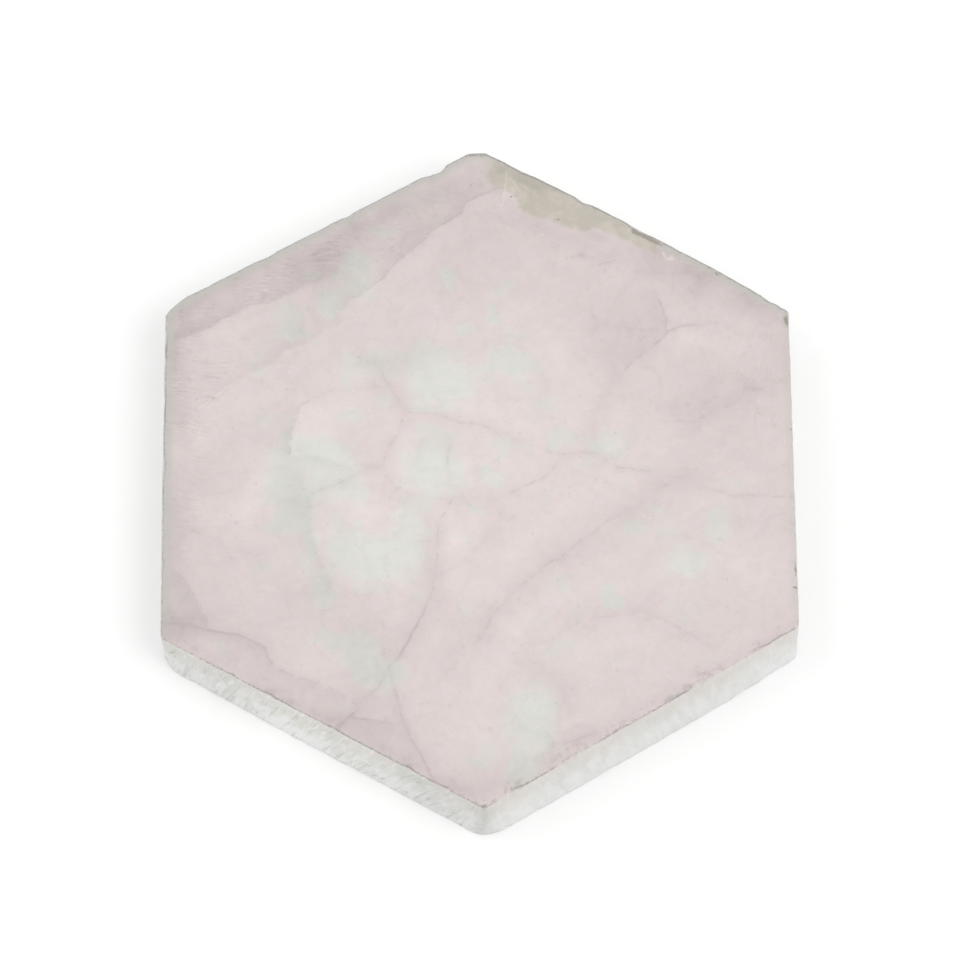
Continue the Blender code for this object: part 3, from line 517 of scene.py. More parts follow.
# Where the stone is darker or lighter over a wider stretch: middle, radii, how much darker, and turn.
shades = (
    (4, 0, 24, 27, -0.22), (4, 11, 6, 6, -0.12), (-19, -7, 5, 3, -0.12), (-25, 10, 5, 4, -0.15),
    (-36, -5, 4, 7, -0.14, -20), (-3.5, -12, 2.5, 4, -0.15), (0, -42, 5, 6, -0.12), (12, -30, 9, 6, -0.08),
    (41, -15, 8, 5, -0.08), (-37, 13, 7, 2, -0.12), (-33, 32, 4, 3, -0.12),
    (-17.5, 34.5, 1.5, 3, -0.25, -35), (-40, 25, 4, 2, -0.2, -10), (-39.5, 17.5, 2, 1.8, -0.15),
    (-44, 7, 3, 2, -0.2), (-49, 3, 3, 2.5, -0.22), (-25, 9, 3.5, 3, -0.22), (-23, 15, 3, 3, -0.15),
    (-18, 12, 4, 4, -0.1), (-14.5, 1, 1.5, 2, -0.22), (-11, -3, 2, 1.5, -0.22, -20),
    (-11.5, 7, 1.5, 2, -0.15), (-36, -6, 2, 5, -0.2, -15), (-18, -6, 4, 3, -0.28, -30),
    (-15.5, -19, 2.5, 1.5, -0.2), (-38, -22, 4, 3, -0.1), (-26, -32, 3, 4, -0.14),
    (-43, -29, 4, 1.5, -0.2, -25), (9, 29, 3, 2, -0.15, -30), (13, 23.5, 3, 3, -0.2), (13, 19, 2, 3, -0.15),
    (20, 14.5, 2, 1.5, -0.15), (-5, 25, 2.5, 2, -0.15), (33, 23.5, 4, 2, -0.22), (27, 5.5, 2.5, 1.5, -0.15),
    (36, 6, 1.5, 2, -0.2), (9, -2, 3, 2, -0.12), (3, 2, 3, 2, -0.12), (10, 4, 4, 1.5, -0.12, -10),
    (18.5, -10, 3.5, 2, -0.25, 20), (27, -4.5, 2.5, 2, -0.15), (3.5, -21.5, 3, 3, -0.2),
    (8, -18, 1.5, 2.5, -0.15), (-2, -32, 4.5, 2, -0.28, 45), (23, -30, 5, 1.5, -0.2),
    (31, -26, 4, 1.2, -0.12, -30), (41, -15, 3, 2.5, -0.2), (43.5, -19, 3, 2.5, -0.18),
    (43, -3.5, 3, 1.5, -0.15), (22.5, -20.5, 2, 1.5, -0.18), (-10, -43.5, 1.2, 4, -0.25, 15),
    (-1, -45, 4, 4, -0.1), (-25, 38, 9, 5, 0.42, 30), (-12, 47.5, 9, 3, 0.35, 30), (2, 45, 9, 9, 0.16),
    (13, 43, 9, 2.2, 0.25, -25), (35, 36.5, 13, 4, 0.42, -30), (20, 28, 9, 8, 0.16), (21, 21, 4, 3, 0.16),
    (37, 15, 8, 5, 0.16, -20), (47.5, 18, 4, 8, 0.15), (47, -9, 4, 3, 0.1), (25, 26, 5, 4, 0.1),
    (-48.5, 15, 3.5, 12, 0.36), (-48.5, -5, 3.5, 10, 0.25), (-41, -24, 6, 8, 0.18, 30),
    (-47, -26, 5, 4, 0.4), (-30, -2, 2.5, 8, 0.24), (-29.5, 27, 3, 4, 0.22), (-23.5, 30, 2.5, 3, 0.12),
    (-17, -32, 5, 6, 0.22), (-15, -44, 6, 4, 0.32), (-30, -41, 12, 2.5, 0.25, -30), (1, -54, 9, 3, 0.2),
    (-12, 21, 5, 3, 0.12), (22, -43, 14, 2, 0.15, 30), (-30, -25, 8, 5, 0.08), (-25, 39.5, 4, 2, 0.35, 25),
    (-46, 30.5, 5, 1.6, 0.4, 29), (-38, 35, 5, 1.4, 0.3, 29), (-49.5, 22.5, 2, 3.5, 0.5),
    (-49, 28, 2.5, 2, 0.4), (-14, 47.5, 2.5, 2, 0.4, 30), (-19.5, 44, 3.5, 1.6, 0.35, 30),
    (-8, 43, 5, 2.5, 0.12, 30), (-4, 35, 3, 4, 0.14), (0, 40, 5, 6, 0.08), (-12, 19, 3, 2.5, 0.28),
    (5, 20, 3, 4, 0.12), (-6, 6, 2, 3, 0.17), (23, 16, 1.8, 3.5, 0.15, 30), (31, 11, 4, 3, 0.14),
    (35, 14.5, 4, 2, 0.12, 40), (16, 6, 2.2, 1.8, 0.15), (35, 33, 3.5, 4, 0.2), (28.5, 37.5, 2, 3, 0.25),
    (45, 29, 5, 2, 0.3, -30), (46, 14.5, 2, 1.5, 0.2), (41, 6, 3, 4, 0.08), (-43.5, -2, 3, 1.8, 0.22, -15),
    (-48, -12, 2, 6, 0.25), (-47, -17, 2, 2.5, 0.15), (-28, -6, 3, 4, 0.2), (-24, -22, 2, 3, 0.16),
    (-9, -12, 2, 5, 0.12), (-5, -25, 2.5, 4, 0.2), (-16, -28, 4, 2.5, 0.17), (-19, -34, 2, 3, 0.17),
    (4, -6.5, 6, 2, 0.1), (22.5, -13, 3, 2, 0.15), (-23, -42.5, 3, 1.5, 0.3, -30),
    (-12, -49.5, 5, 1.5, 0.4, -30), (-4, -54, 3, 1.5, 0.4, -30), (-49, -27, 2.5, 2.5, 0.5),
    (8, -43.5, 3, 2, 0.12), (46, -29.5, 4, 1.3, 0.3, 30), (30, -39, 10, 1.3, 0.1, 30),
    (10, -50.5, 8, 1.5, 0.15, 30), (-24, -10.5, 2, 2, -0.16), (6.1, -49.7, 2, 2, 0.15),
    (-24, 34.3, 2, 2, 0.13), (5, -27, 2.5, 2.5, -0.14), (32, -18.5, 4.5, 3.5, -0.12, -30),
    (-15.5, -13, 2.5, 2.5, -0.12), (9.4, -17, 2, 2.5, -0.12, -30), (-45, 25.5, 4, 1.2, 0.3, 25),
    (-4.5, 50.3, 4, 2.5, 0.2, 30), (37, 34.2, 12, 0.9, 0.1, -30), (2.5, 55, 4, 1.5, 0.2, -10),
    (-20.9, -41, 2, 2.5, 0.16), (11.1, -44.2, 2, 3, 0.14), (48.5, 20, 1.6, 2.5, 0.14),
    (-11.4, 5.5, 1.6, 2.5, -0.13), (-0.6, -50.9, 2.5, 2, 0.12), (-16.5, -9.9, 2.5, 2, -0.12),
    (-13.8, -29.5, 2, 2.5, -0.12), (22.4, 38.1, 2.5, 2, 0.12), (5.7, 23.6, 2.5, 2, -0.12),
    (41.2, 31.9, 2.5, 2, -0.12), (-47.7, 11.4, 2, 1.5, 0.15), (-4.5, -13, 2, 4, -0.12),
    (-20.6, 45.4, 0.7, 1.1, 0.5), (-48.2, 19.9, 1.5, 2, 0.15), (-24.3, 31.3, 2, 2, -0.14),
    (3.6, 25.9, 2, 2, -0.14), (21, 4, 2.5, 2, -0.12), (0, -54.6, 2.5, 1.5, 0.2),
    (19.5, 42.2, 2, 0.8, 0.35, -20), (3, 50.6, 1, 0.8, 0.35), (-9.5, 43.7, 2, 1.5, 0.25, 30),
    (9.2, -32.2, 2, 2, -0.14),
)

# Where the sides are darker or lighter, in the same way.
wallShades = (
    (0.6, -58, 2.2, 2.5, 0.6), (0.6, -57.9, 0.35, 0.7, 1), (-7, -53, 5, 3, 0.45, -30),
    (-19, -46.5, 7, 3, -0.35, -30), (-30, -40.5, 6, 3, -0.7, -30), (20, -46, 12, 3, 0.15, 30),
    (36, -38, 10, 3, 0.25, 30),
)

# Places with a colour of their own: middle, radii, amount and turn.
tints = {
    "khaki": ((2.8, 54.8, 3, 2.6, 0.55, 10), (4.4, 52.6, 1.8, 2, 0.55), (26.5, 40.6, 2.4, 0.8, 0.35, -30),
        (29, 39.4, 2.6, 1.3, 0.25, -40)),
    "olive": ((8.6, 52.6, 3.4, 1.4, 1.2, -30), (3.9, 54.8, 1.3, 2, 0.6), (16, 49.4, 7, 0.8, 0.7, -30),
        (50, 27.1, 0.8, 1.5, 1.3, 8), (49.6, 3, 0.6, 30, 0.2, 2), (-48.2, -29.9, 1.8, 0.5, 0.4, -25)),
    "grime": ((25.7, 43, 0.7, 0.6, 1.1, -32), (27.2, 42.1, 1.3, 0.5, 0.95, -32),
        (29.2, 40.9, 1, 0.3, 0.9, -30), (7, 54.5, 6, 0.25, 1.1, -30), (18, 48.2, 6, 0.2, 0.8, -30),
        (-49.8, 22.4, 0.25, 1.6, 0.9), (-49.9, 12.5, 0.25, 5, 0.8), (-50, -3.2, 0.35, 2.6, 1),
        (-49.8, -22.2, 0.3, 0.6, 1.2), (49.7, 26.6, 0.35, 1, 1.2, 14), (49.8, 8.2, 0.5, 0.12, 1),
        (49.9, 7.2, 0.5, 0.12, 0.9), (49.8, -17.3, 0.22, 1.4, 1), (49.6, -20.4, 0.5, 0.25, 0.9),
        (38.7, 35.3, 0.8, 0.22, 0.7, -30), (-1, 57.3, 4, 0.3, 0.7), (13.3, 45.3, 0.25, 0.2, 1.1, -40),
        (5.7, 49.6, 0.2, 0.2, 1), (0.5, -57.2, 0.3, 0.4, 1), (1.4, -56.6, 0.9, 0.15, 0.7, 30)),
    "cream": ((30.2, 38.9, 0.35, 0.9, 0.7, 20), (31.2, 37.9, 0.9, 0.35, 0.8), (31.5, 38.6, 0.5, 0.5, 0.5),
        (5.9, 50.9, 0.7, 1.2, 0.5, 20), (22, 44.8, 1.7, 0.25, 0.35, -28), (24.6, 43.2, 0.3, 0.5, 0.6),
        (25.4, 41.6, 1.6, 0.35, 0.6, -24), (18.2, 46.4, 1.6, 1, 0.45, -20), (15.2, 45.4, 1.4, 0.9, 0.45),
        (10, 47.3, 0.8, 0.7, 0.5), (8, 48.9, 0.5, 1, 0.5, 30), (-29, 6, 0.6, 4, 0.5, -12),
        (-25, 3.9, 3, 0.5, 0.5, -14), (48.8, 27.8, 0.2, 0.9, 0.8, 8), (-41.8, 10.2, 0.5, 0.5, 0.5),
        (-47.2, -27, 1.2, 0.5, 0.4, -20)),
}

# Where the face is scratched across or along the plate: middle, radii, how strongly, and turn.
scratched = {
    "acrossScratch": ((-47, 14, 5, 11, 1), (-40, 20, 7, 3, 0.6, 20), (-32, 35, 15, 4, 0.9, 29),
        (-45, -3, 4, 8, 0.5), (-16, 43, 12, 3.5, 0.6, 32)),
    "alongScratch": ((44.5, 18, 3.5, 5, 0.8), (36, 24, 6, 3, 0.4)),
}

# The stained stone lies to the left of this line, which runs from the far corner along the edge.
stain = {
    "line": ((1.0, 54.5), (1.8, 52.3), (3.4, 51.3), (5.4, 50.6), (6.2, 49.2), (7.4, 46.9), (9.4, 45.8),
             (11.5, 45.3), (14.0, 44.1), (16.7, 43.2), (19.2, 43.3), (21.5, 42.4), (24.2, 41.6),
             (26.8, 40.4), (29.1, 39.6)),
    "step": 0.4, "stray": 0.5, "wander": 1.2, "seed": 77,
    "soft": 0.9,
    "farthest": 14.0,
    "comesIn": 0.15,              # over how much of the line it comes in and goes out
    "goesOut": 0.03,
}

marking = {
    "veinStep": 0.4,              # between two points along a vein
    "veinStray": 0.22,            # how far a vein wanders from its run
    "veinWander": 1.6,            # how long its wanderings are
    "veinWidth": 0.4,             # a thin line's usual half width
    "veinFade": (0.1, 0.1),
    "farthest": 9.0,              # how far a vein's shade is looked for
    "valleySlope": 1.5,           # how steeply that shade fades
    "shoulder": 0.3,              # how much lighter the stone is again beyond a vein's valley
    "shoulderAt": 2.2,            # and how far out, as a share of the valley's reach
    "patchStray": 1.8,            # how far a patch's outline is pushed about
    "patchLumps": 2.2,            # and how large its lobes are
    "patchEdge": (1.5, 0.45),     # where its soft edge begins and ends, in its radii
    "patchLift": 0.22,            # how much lighter a large patch is
    "largePatch": (2.0, 4.5),     # from which to which radius a patch counts as large
    "cornerBlur": 10,             # over how many points a side's finish passes into the next side's
}


def noiseAt(spots, size, seed):
    rows = np.column_stack((spots / size, np.full(len(spots), seed)))
    return np.array([noise.noise(row) for row in rows.tolist()])


def smooth(low, high, values):
    share = np.clip((values - low) / (high - low), 0, 1)
    return share * share * (3 - 2 * share)


def roughened(points, step, stray, wander, seed):
    # The same run with points every step, each pushed aside a little.
    run = [Vector(point) for point in points]
    rough = []
    travel = 0.0
    for here, beyond in zip(run, run[1:]):
        way = beyond - here
        count = max(1, round(way.length / step))
        aside = Vector((-way.y, way.x)).normalized()
        for part in range(count):
            gone = travel + way.length * part / count
            push = noise.noise((gone / wander, seed, 0.3))
            push += 0.5 * noise.noise((gone / wander * 2.7, seed, 7.1))
            rough.append(tuple(here.lerp(beyond, part / count) + aside * stray * push))
        travel += way.length
    rough.append(tuple(run[-1]))
    return np.array(rough)


veinLines = [
    roughened(vein["points"], marking["veinStep"], marking["veinStray"], marking["veinWander"], number)
    for number, vein in enumerate(veins.values())]


def alongLine(spots, line, farthest):
    # For each spot: how far the line is, on which side (1 left, -1 right) and the share of its way.
    far = np.full(len(spots), farthest)
    side = np.ones(len(spots))
    share = np.zeros(len(spots))
    near = np.all((spots > line.min(0) - farthest) & (spots < line.max(0) + farthest), axis=1)
    here = spots[near]
    nearFar, nearSide, nearShare = far[near], side[near], share[near]
    steps = np.linalg.norm(np.diff(line, axis=0), axis=1)
    gone = 0.0
    for start, end, length in zip(line, line[1:], steps):
        way = (end - start) / length
        off = here - start
        place = np.clip(off @ way, 0, length)
        off = off - place[:, None] * way
        reach = np.hypot(off[:, 0], off[:, 1])
        closer = reach < nearFar
        nearFar[closer] = reach[closer]
        nearSide[closer] = np.sign(way[0] * off[closer, 1] - way[1] * off[closer, 0])
        nearShare[closer] = (gone + place[closer]) / steps.sum()
        gone += length
    far[near], side[near], share[near] = nearFar, nearSide, nearShare
    return far, side, share


def veinMarks(spots):
    # The distance to the nearest vein in its own half widths, that vein's line, and the shade beside all.
    nearest = np.full(len(spots), farAway)
    thin, dusk, light = (np.zeros(len(spots)) for _ in range(3))
    for vein, line in zip(veins.values(), veinLines):
        far, side, share = alongLine(spots, line, marking["farthest"])
        widths = far / vein.get("width", marking["veinWidth"])
        closer = widths < nearest
        nearest[closer] = widths[closer]
        thin[closer] = np.interp(share, *zip(*vein["line"]))[closer]
        start, end = vein.get("fade", marking["veinFade"])
        ends = smooth(0, start, share) * smooth(0, end, 1 - share) * (far < marking["farthest"])
        depth, reach = vein.get("valley", (0, 1))
        valley = depth * np.exp(-(far / reach) ** marking["valleySlope"])
        shoulder = depth * np.exp(-(far / reach - marking["shoulderAt"]) ** 2)
        light = np.minimum(light, -marking["shoulder"] * shoulder * ends)
        for name, which in (("left", 1), ("right", -1)):
            depth, reach = vein.get(name, (0, 1))
            beside = np.where(side == which, depth * np.exp(-far / reach * marking["valleySlope"]), 0)
            valley = np.maximum(valley, beside)
            light = np.minimum(light, beside * ends)
        dusk = np.maximum(dusk, valley * ends)
    return nearest, thin, dusk + light


def insideRows(spots, table):
    # For each row its amount, its size, and how far from its middle every spot is, in its own radii.
    for x, y, wide, deep, amount, *turn in table:
        angle = math.radians(turn[0] if turn else 0)
        off = spots - (x, y)
        u = (off[:, 0] * math.cos(angle) + off[:, 1] * math.sin(angle)) / wide
        v = (off[:, 1] * math.cos(angle) - off[:, 0] * math.sin(angle)) / deep
        yield amount, math.sqrt(wide * deep), np.hypot(u, v)


def patchMarks(spots):
    push = np.column_stack([noiseAt(spots, marking["patchLumps"], seed) for seed in (3.1, 8.7)])
    moved = spots + push * marking["patchStray"]
    clear = np.ones(len(spots))
    plain = np.ones(len(spots))
    for amount, size, reach in insideRows(moved, patches):
        mine = amount * smooth(*marking["patchEdge"], reach)
        clear *= 1 - mine
        plain *= 1 - mine * smooth(*marking["largePatch"], size)
    return 1 - clear, (1 - plain) * marking["patchLift"]


def blobs(spots, table):
    total = np.zeros(len(spots))
    for amount, _, reach in insideRows(spots, table):
        total += amount * np.exp(-reach ** 2)
    return total


def stainMark(spots):
    line = roughened(*(stain[name] for name in ("line", "step", "stray", "wander", "seed")))
    far, side, share = alongLine(spots, line, stain["farthest"])
    ends = smooth(0, stain["comesIn"], share) * smooth(0, stain["goesOut"], 1 - share)
    return smooth(-stain["soft"], stain["soft"], far * side) * ends * (far < stain["farthest"])


# How the two faces are drawn with triangles, and the pits in them.
drawing = {
    "upperStep": 0.46,
    "underStep": 1.0,
    "fineStep": 0.24,             # where the stain and the small tints are
    "fineUnder": 1.3,             # the radius under which a tint counts as small
    "gridReach": 60.0,
    "insets": (0.15, 0.42),       # rows of points just inside the edge
    "fromEdge": 0.1,              # the nearest that any other point comes to the edge
    "closest": 0.21,              # between any two points
    "fineClosest": 0.09,          # and between those of the cracks, pits and small tints
    "cell": 0.32,                 # of the squares in which near points are looked for
    "underTurn": 152.0,           # the veins come out of the underside turned and moved from the upper face
    "underMove": (4.0, -6.0),
    "pitCount": 90,
    "pitSizes": (0.16, 0.3),
    "pitsWithin": 49.0,           # of the middle
    "pitDepth": 0.35,             # a pit's depth as a share of its radius
    "undulation": 0.02,           # the faint unevenness of the grinding
    "undulationSize": 3.5,
}

# The larger pits: place, radius and depth.
namedPits = (
    (-0.9, 51.7, 0.35, 0.25), (-30.5, 14.9, 0.4, 0.25), (18.6, 27.7, 0.45, 0.3), (33.4, 11.7, 0.4, 0.25),
    (-38.2, -8.7, 0.45, 0.3), (6.2, -22.1, 0.4, 0.25), (-24.0, -23.9, 0.35, 0.2), (38.0, -11.9, 0.4, 0.25),
    (1.6, -44.1, 0.45, 0.3), (21.4, -34.3, 0.4, 0.25), (-14.6, 31.1, 0.35, 0.2), (43.6, 22.2, 0.35, 0.2),
)


def allPits():
    dice = np.random.default_rng(11)
    low, high = drawing["pitSizes"]
    pits = list(namedPits)
    for _ in range(drawing["pitCount"]):
        angle, away = dice.uniform(0, math.tau), drawing["pitsWithin"] * math.sqrt(dice.uniform())
        radius = dice.uniform(low, high)
        pits.append((away * math.cos(angle), away * math.sin(angle), radius, radius * drawing["pitDepth"]))
    return pits


pits = allPits()


class Edge:
    # One closed ring of points: which way is out at each, and how far inside it a spot lies.
    def __init__(self, ring):
        self.ring = np.array([(point.x, point.y) for point in ring])
        chord = np.roll(self.ring, -2, axis=0) - np.roll(self.ring, 2, axis=0)
        self.out = np.column_stack((chord[:, 1], -chord[:, 0])) / np.linalg.norm(chord, axis=1)[:, None]
        self.tree = KDTree(len(self.ring))
        for number, (x, y) in enumerate(self.ring):
            self.tree.insert((x, y, 0), number)
        self.tree.balance()

    def inside(self, spots):
        nearest = np.array([self.tree.find((x, y, 0))[1] for x, y in spots.tolist()])
        off = spots - self.ring[nearest]
        return -np.einsum("ij,ij->i", off, self.out[nearest]), nearest


def sparse(groups, cell):
    # Points of the groups in turn, leaving out any that is closer than its gap to one already kept.
    cells = {}
    kept = []
    for group, gap in groups:
        for x, y in group.tolist():
            column, row = math.floor(x / cell), math.floor(y / cell)
            around = [point for i in (-1, 0, 1) for j in (-1, 0, 1)
                      for point in cells.get((column + i, row + j), ())]
            if all((x - u) ** 2 + (y - v) ** 2 > gap * gap for u, v in around):
                cells.setdefault((column, row), []).append((x, y))
                kept.append((x, y))
    return kept


def looseGrid(step, seed):
    # Rows of points that fill the square round the plate, each pushed a little out of line.
    dice = np.random.default_rng(seed)
    reach = drawing["gridReach"]
    rows = np.arange(-reach, reach, step * math.sqrt(3) / 2)
    columns = np.arange(-reach, reach, step)
    x, y = np.meshgrid(columns, rows)
    x = x + (np.arange(len(rows)) % 2)[:, None] * step / 2
    spots = np.column_stack((x.ravel(), y.ravel()))
    return spots + dice.uniform(-0.18, 0.18, spots.shape) * step


def banksOf(line, width):
    way = np.gradient(line, axis=0)
    aside = np.column_stack((-way[:, 1], way[:, 0])) / np.linalg.norm(way, axis=1)[:, None]
    return np.vstack((line + aside * width / 2, line - aside * width / 2))


def pitPoints():
    spots = []
    for x, y, radius, _ in pits:
        spots.append((x, y))
        for turn in np.arange(6) * math.tau / 6:
            spots.append((x + radius * math.cos(turn), y + radius * math.sin(turn)))
    return np.array(spots)


def finePoints():
    # A closer grid where the stain, or one of the small tints, is.
    spots = looseGrid(drawing["fineStep"], 9)
    small = stainMark(spots) > 0.02
    for table in tints.values():
        rows = [row for row in table if min(row[2], row[3]) < drawing["fineUnder"]]
        small |= blobs(spots, rows) > 0.2
    return spots[small]


def drawFace(edge, step, lines, extra):
    # Triangles over a face: the places of its inner points, and rows of three numbers that join them. The
    # numbers count the edge's own points first.
    count = len(edge.ring)
    insets = [edge.ring - edge.out * inset for inset in drawing["insets"]]
    closest, fromEdge = drawing["closest"], drawing["fromEdge"]
    groups = [(insets[0], fromEdge)]
    groups += [(group, drawing["fineClosest"]) for group in extra]
    groups += [(line, closest) for line in lines]
    groups += [(insets[1], closest * 0.9), (looseGrid(step, 5), min(step * 0.55, 0.3))]
    spots = [(edge.ring, 0.0)]
    for group, gap in groups:
        depth, _ = edge.inside(group)
        spots.append((group[depth > fromEdge], gap))
    kept = [Vector(spot) for spot in sparse(spots, drawing["cell"])]
    loop = [(number, (number + 1) % count) for number in range(count)]
    placed, _, faces, origins, _, _ = delaunay_2d_cdt(kept, loop, [list(range(count))], 1, 1e-6)
    numbers = [min(origin) if origin else -1 for origin in origins]
    renamed = {place: number for place, number in enumerate(numbers) if 0 <= number < count}
    inner = [place for place, number in enumerate(numbers) if number >= count or number < 0]
    renamed.update({place: count + rank for rank, place in enumerate(inner)})
    triangles = np.array([[renamed[corner] for corner in face] for face in faces])
    return np.array([tuple(placed[place]) for place in inner]), triangles


def reliefAt(spots):
    # How far the upper face lies below its plane: open cracks, pits and the grinding.
    relief = drawing["undulation"] * np.abs(noiseAt(spots, drawing["undulationSize"], 1.7))
    for vein, line in zip(veins.values(), veinLines):
        if "open" in vein:
            width, depth = vein["open"]
            far, _, share = alongLine(spots, line, width)
            worth = np.interp(share, *zip(*vein["line"]))
            relief = np.maximum(relief, depth * worth * np.clip(1 - far / (width / 2), 0, 1))
    for x, y, radius, depth in pits:
        far = np.hypot(spots[:, 0] - x, spots[:, 1] - y)
        relief = np.maximum(relief, depth * smooth(radius, 0, far))
    return relief


def turned(spots, degrees):
    x, y = spots[:, 0], spots[:, 1]
    cos, sin = math.cos(math.radians(degrees)), math.sin(math.radians(degrees))
    return np.column_stack((x * cos - y * sin, y * cos + x * sin))


def underSpots(spots):
    # Where on the upper face the marbling under a spot of the underside is taken from.
    return turned(spots - drawing["underMove"], -drawing["underTurn"])


def underLine(line):
    return turned(line, drawing["underTurn"]) + drawing["underMove"]


def plateShape():
    # The plate's points and faces: the rings of its skin, then the points inside its two faces.
    rings, places = edgeRings()
    shift = Vector((*outline["toMiddle"], 0))
    rings = [[point + shift for point in ring] for ring in rings]
    count, rows = len(rings[0]), len(rings)
    skin = np.array([[tuple(point) for point in ring] for ring in rings]).reshape(-1, 3)
    upperEdge, lowerEdge = Edge(rings[-1]), Edge(rings[0])
    cracks = [(line, vein["open"][0]) for vein, line in zip(veins.values(), veinLines) if "open" in vein]
    close = [piece for line, width in cracks for piece in (line, banksOf(line, width))]
    close += [pitPoints(), finePoints()]
    underLines = [underLine(line) for line in veinLines]
    upper, upperFaces = drawFace(upperEdge, drawing["upperStep"], veinLines, close)
    under, underFaces = drawFace(lowerEdge, drawing["underStep"], underLines, [])
    print("faces drawn", len(upperFaces), len(underFaces))

    upperHeight = outline["thickness"] - reliefAt(upper)
    underHeight = drawing["undulation"] * np.abs(noiseAt(under, drawing["undulationSize"], 4.1))
    points = np.vstack((skin, np.column_stack((upper, upperHeight)), np.column_stack((under, underHeight))))
    low, high = (np.array(corner) / mm for corner in cadBox)
    here = np.arange(count)
    beyond = (here + 1) % count
    band = np.column_stack((here, beyond, beyond + count, here + count))
    bands = np.vstack([band + row * count for row in range(rows - 1)])
    brim, firstUpper = (rows - 1) * count, rows * count
    firstUnder = firstUpper + len(upper)
    upperFaces = np.where(upperFaces < count, upperFaces + brim, upperFaces - count + firstUpper)
    underFaces = np.where(underFaces < count, underFaces, underFaces - count + firstUnder)[:, ::-1]
    return SimpleNamespace(
        points=np.clip(points, low, high), faces=bands.tolist() + upperFaces.tolist() + underFaces.tolist(),
        places=places, count=count, rows=rows, firstUpper=firstUpper, firstUnder=firstUnder,
        upperEdge=upperEdge, lowerEdge=lowerEdge)


def addFields(mesh, shape):
    # What the stone's finish reads at every point of the mesh.
    points, count, rows = shape.points, shape.count, shape.rows
    number = np.arange(len(points))
    skin, face = slice(0, shape.firstUpper), slice(shape.firstUpper, shape.firstUnder)
    under = slice(shape.firstUnder, None)
    above = number < shape.firstUnder
    fromUnder = ~above | (number < count * 2)
    spots = points[:, :2].copy()
    spots[fromUnder] = underSpots(spots[fromUnder])
    rimFar, station = np.zeros(len(points)), number % count
    rimFar[face], station[face] = shape.upperEdge.inside(points[face, :2])
    rimFar[under], station[under] = shape.lowerEdge.inside(points[under, :2])

    sideOf = np.array([index for _, index, _ in shape.places])
    # How dark the line painted along the arris is at each point round the edge.
    arrisDark = np.array([np.interp(share if maker is runPoint else 0.0, *zip(*sides[index]["arrisDark"]))
                     for maker, index, share in shape.places])
    steps = np.linalg.norm(np.diff(shape.upperEdge.ring, axis=0), axis=1)
    gone = np.concatenate(((0,), np.cumsum(steps)))
    blur = marking["cornerBlur"]

    def perSide(name, which=None):
        row = [sides[index][name] for index in sideOf]
        row = np.array(row if which is None else [values[which] for values in row])
        looped = np.concatenate((row[-blur:], row, row[:blur]))
        return np.convolve(looped, np.ones(2 * blur + 1) / (2 * blur + 1), "valid")[station]

    ring = number[skin] // count
    wall, arris = np.zeros(len(points)), np.zeros(len(points))
    wall[skin] = np.interp(ring, (0, 3, rows - 4, rows - 1), (0, 1, 1, 0))
    # Where the dark line painted along the arris lies: the top rings of the sides and a strip of the upper
    # face.
    arris[skin] = np.interp(ring, (rows - 4, rows - 3, rows - 2, rows - 1), (0, 0.1, 0.8, 1))
    arris[face] = np.clip(1 - rimFar[face] / perSide("inside")[face], 0, 1)
    veinFar, veinLine, dusk = veinMarks(spots)
    milk, lift = patchMarks(spots)
    fields = {
        "veinFar": veinFar, "veinLine": veinLine, "dusk": dusk + blobs(spots, shades) - lift, "milk": milk,
        "stain": stainMark(spots) * above, "wallShade": blobs(spots, wallShades),
        # The greenish rim with its painted edge shade: how strong and how wide.
        "rimFar": np.clip(rimFar, 0, 10), "rim": perSide("rim", 0), "rimWide": perSide("rim", 1),
        "wall": wall, "arris": arris * arrisDark[station],
        "across": gone[station] + np.tan(np.radians(perSide("slant"))) * points[:, 2],
    }
    fields |= {name: perSide(name) for name in ("green", "chip", "smudge")}
    fields |= {name: blobs(spots, table) for name, table in scratched.items()}
    fields |= {name: blobs(spots, table) * above for name, table in tints.items()}
    for name, values in fields.items():
        mesh.attributes.new(name, "FLOAT", "POINT").data.foreach_set("value", values.astype(np.float32))


def makePlate():
    shape = plateShape()
    mesh = bpy.data.meshes.new("marbledPlate")
    mesh.from_pydata((shape.points * mm).tolist(), [], shape.faces)
    addFields(mesh, shape)
    mesh.shade_smooth()
    plate = bpy.data.objects.new("marbledPlate", mesh)
    bpy.context.scene.collection.objects.link(plate)
    return plate


# Shader maths. A wire is one socket of a material, and arithmetic on it adds the nodes.
class Wire:
    def __init__(self, tree, socket=None):
        self.tree = tree
        self.socket = socket

    def node(self, kind, settings=None, values=None, out=0):
        made = self.tree.nodes.new(kind)
        for name, value in (settings or {}).items():
            setattr(made, name, value)
        for name, value in (values or {}).items():
            if isinstance(value, Wire):
                self.tree.links.new(value.socket, made.inputs[name])
            else:
                made.inputs[name].default_value = value
        return Wire(self.tree, made.outputs[out] if made.outputs else None)

    def other(self, out):
        return Wire(self.tree, self.socket.node.outputs[out])

    def maths(self, operation, *values):
        return self.node("ShaderNodeMath", {"operation": operation}, dict(enumerate(values)))

    def __add__(self, other):
        return self.maths("ADD", self, other)

    def __radd__(self, other):
        return self.maths("ADD", other, self)

    def __sub__(self, other):
        return self.maths("SUBTRACT", self, other)

    def __rsub__(self, other):
        return self.maths("SUBTRACT", other, self)

    def __mul__(self, other):
        return self.maths("MULTIPLY", self, other)

    def __rmul__(self, other):
        return self.maths("MULTIPLY", other, self)

    def __truediv__(self, other):
        return self.maths("DIVIDE", self, other)

    def __pow__(self, other):
        return self.maths("POWER", self, other)

    def __neg__(self):
        return self.maths("MULTIPLY", self, -1.0)

    def __abs__(self):
        return self.maths("ABSOLUTE", self)

    def atLeast(self, floor):
        return self.maths("MAXIMUM", self, floor)


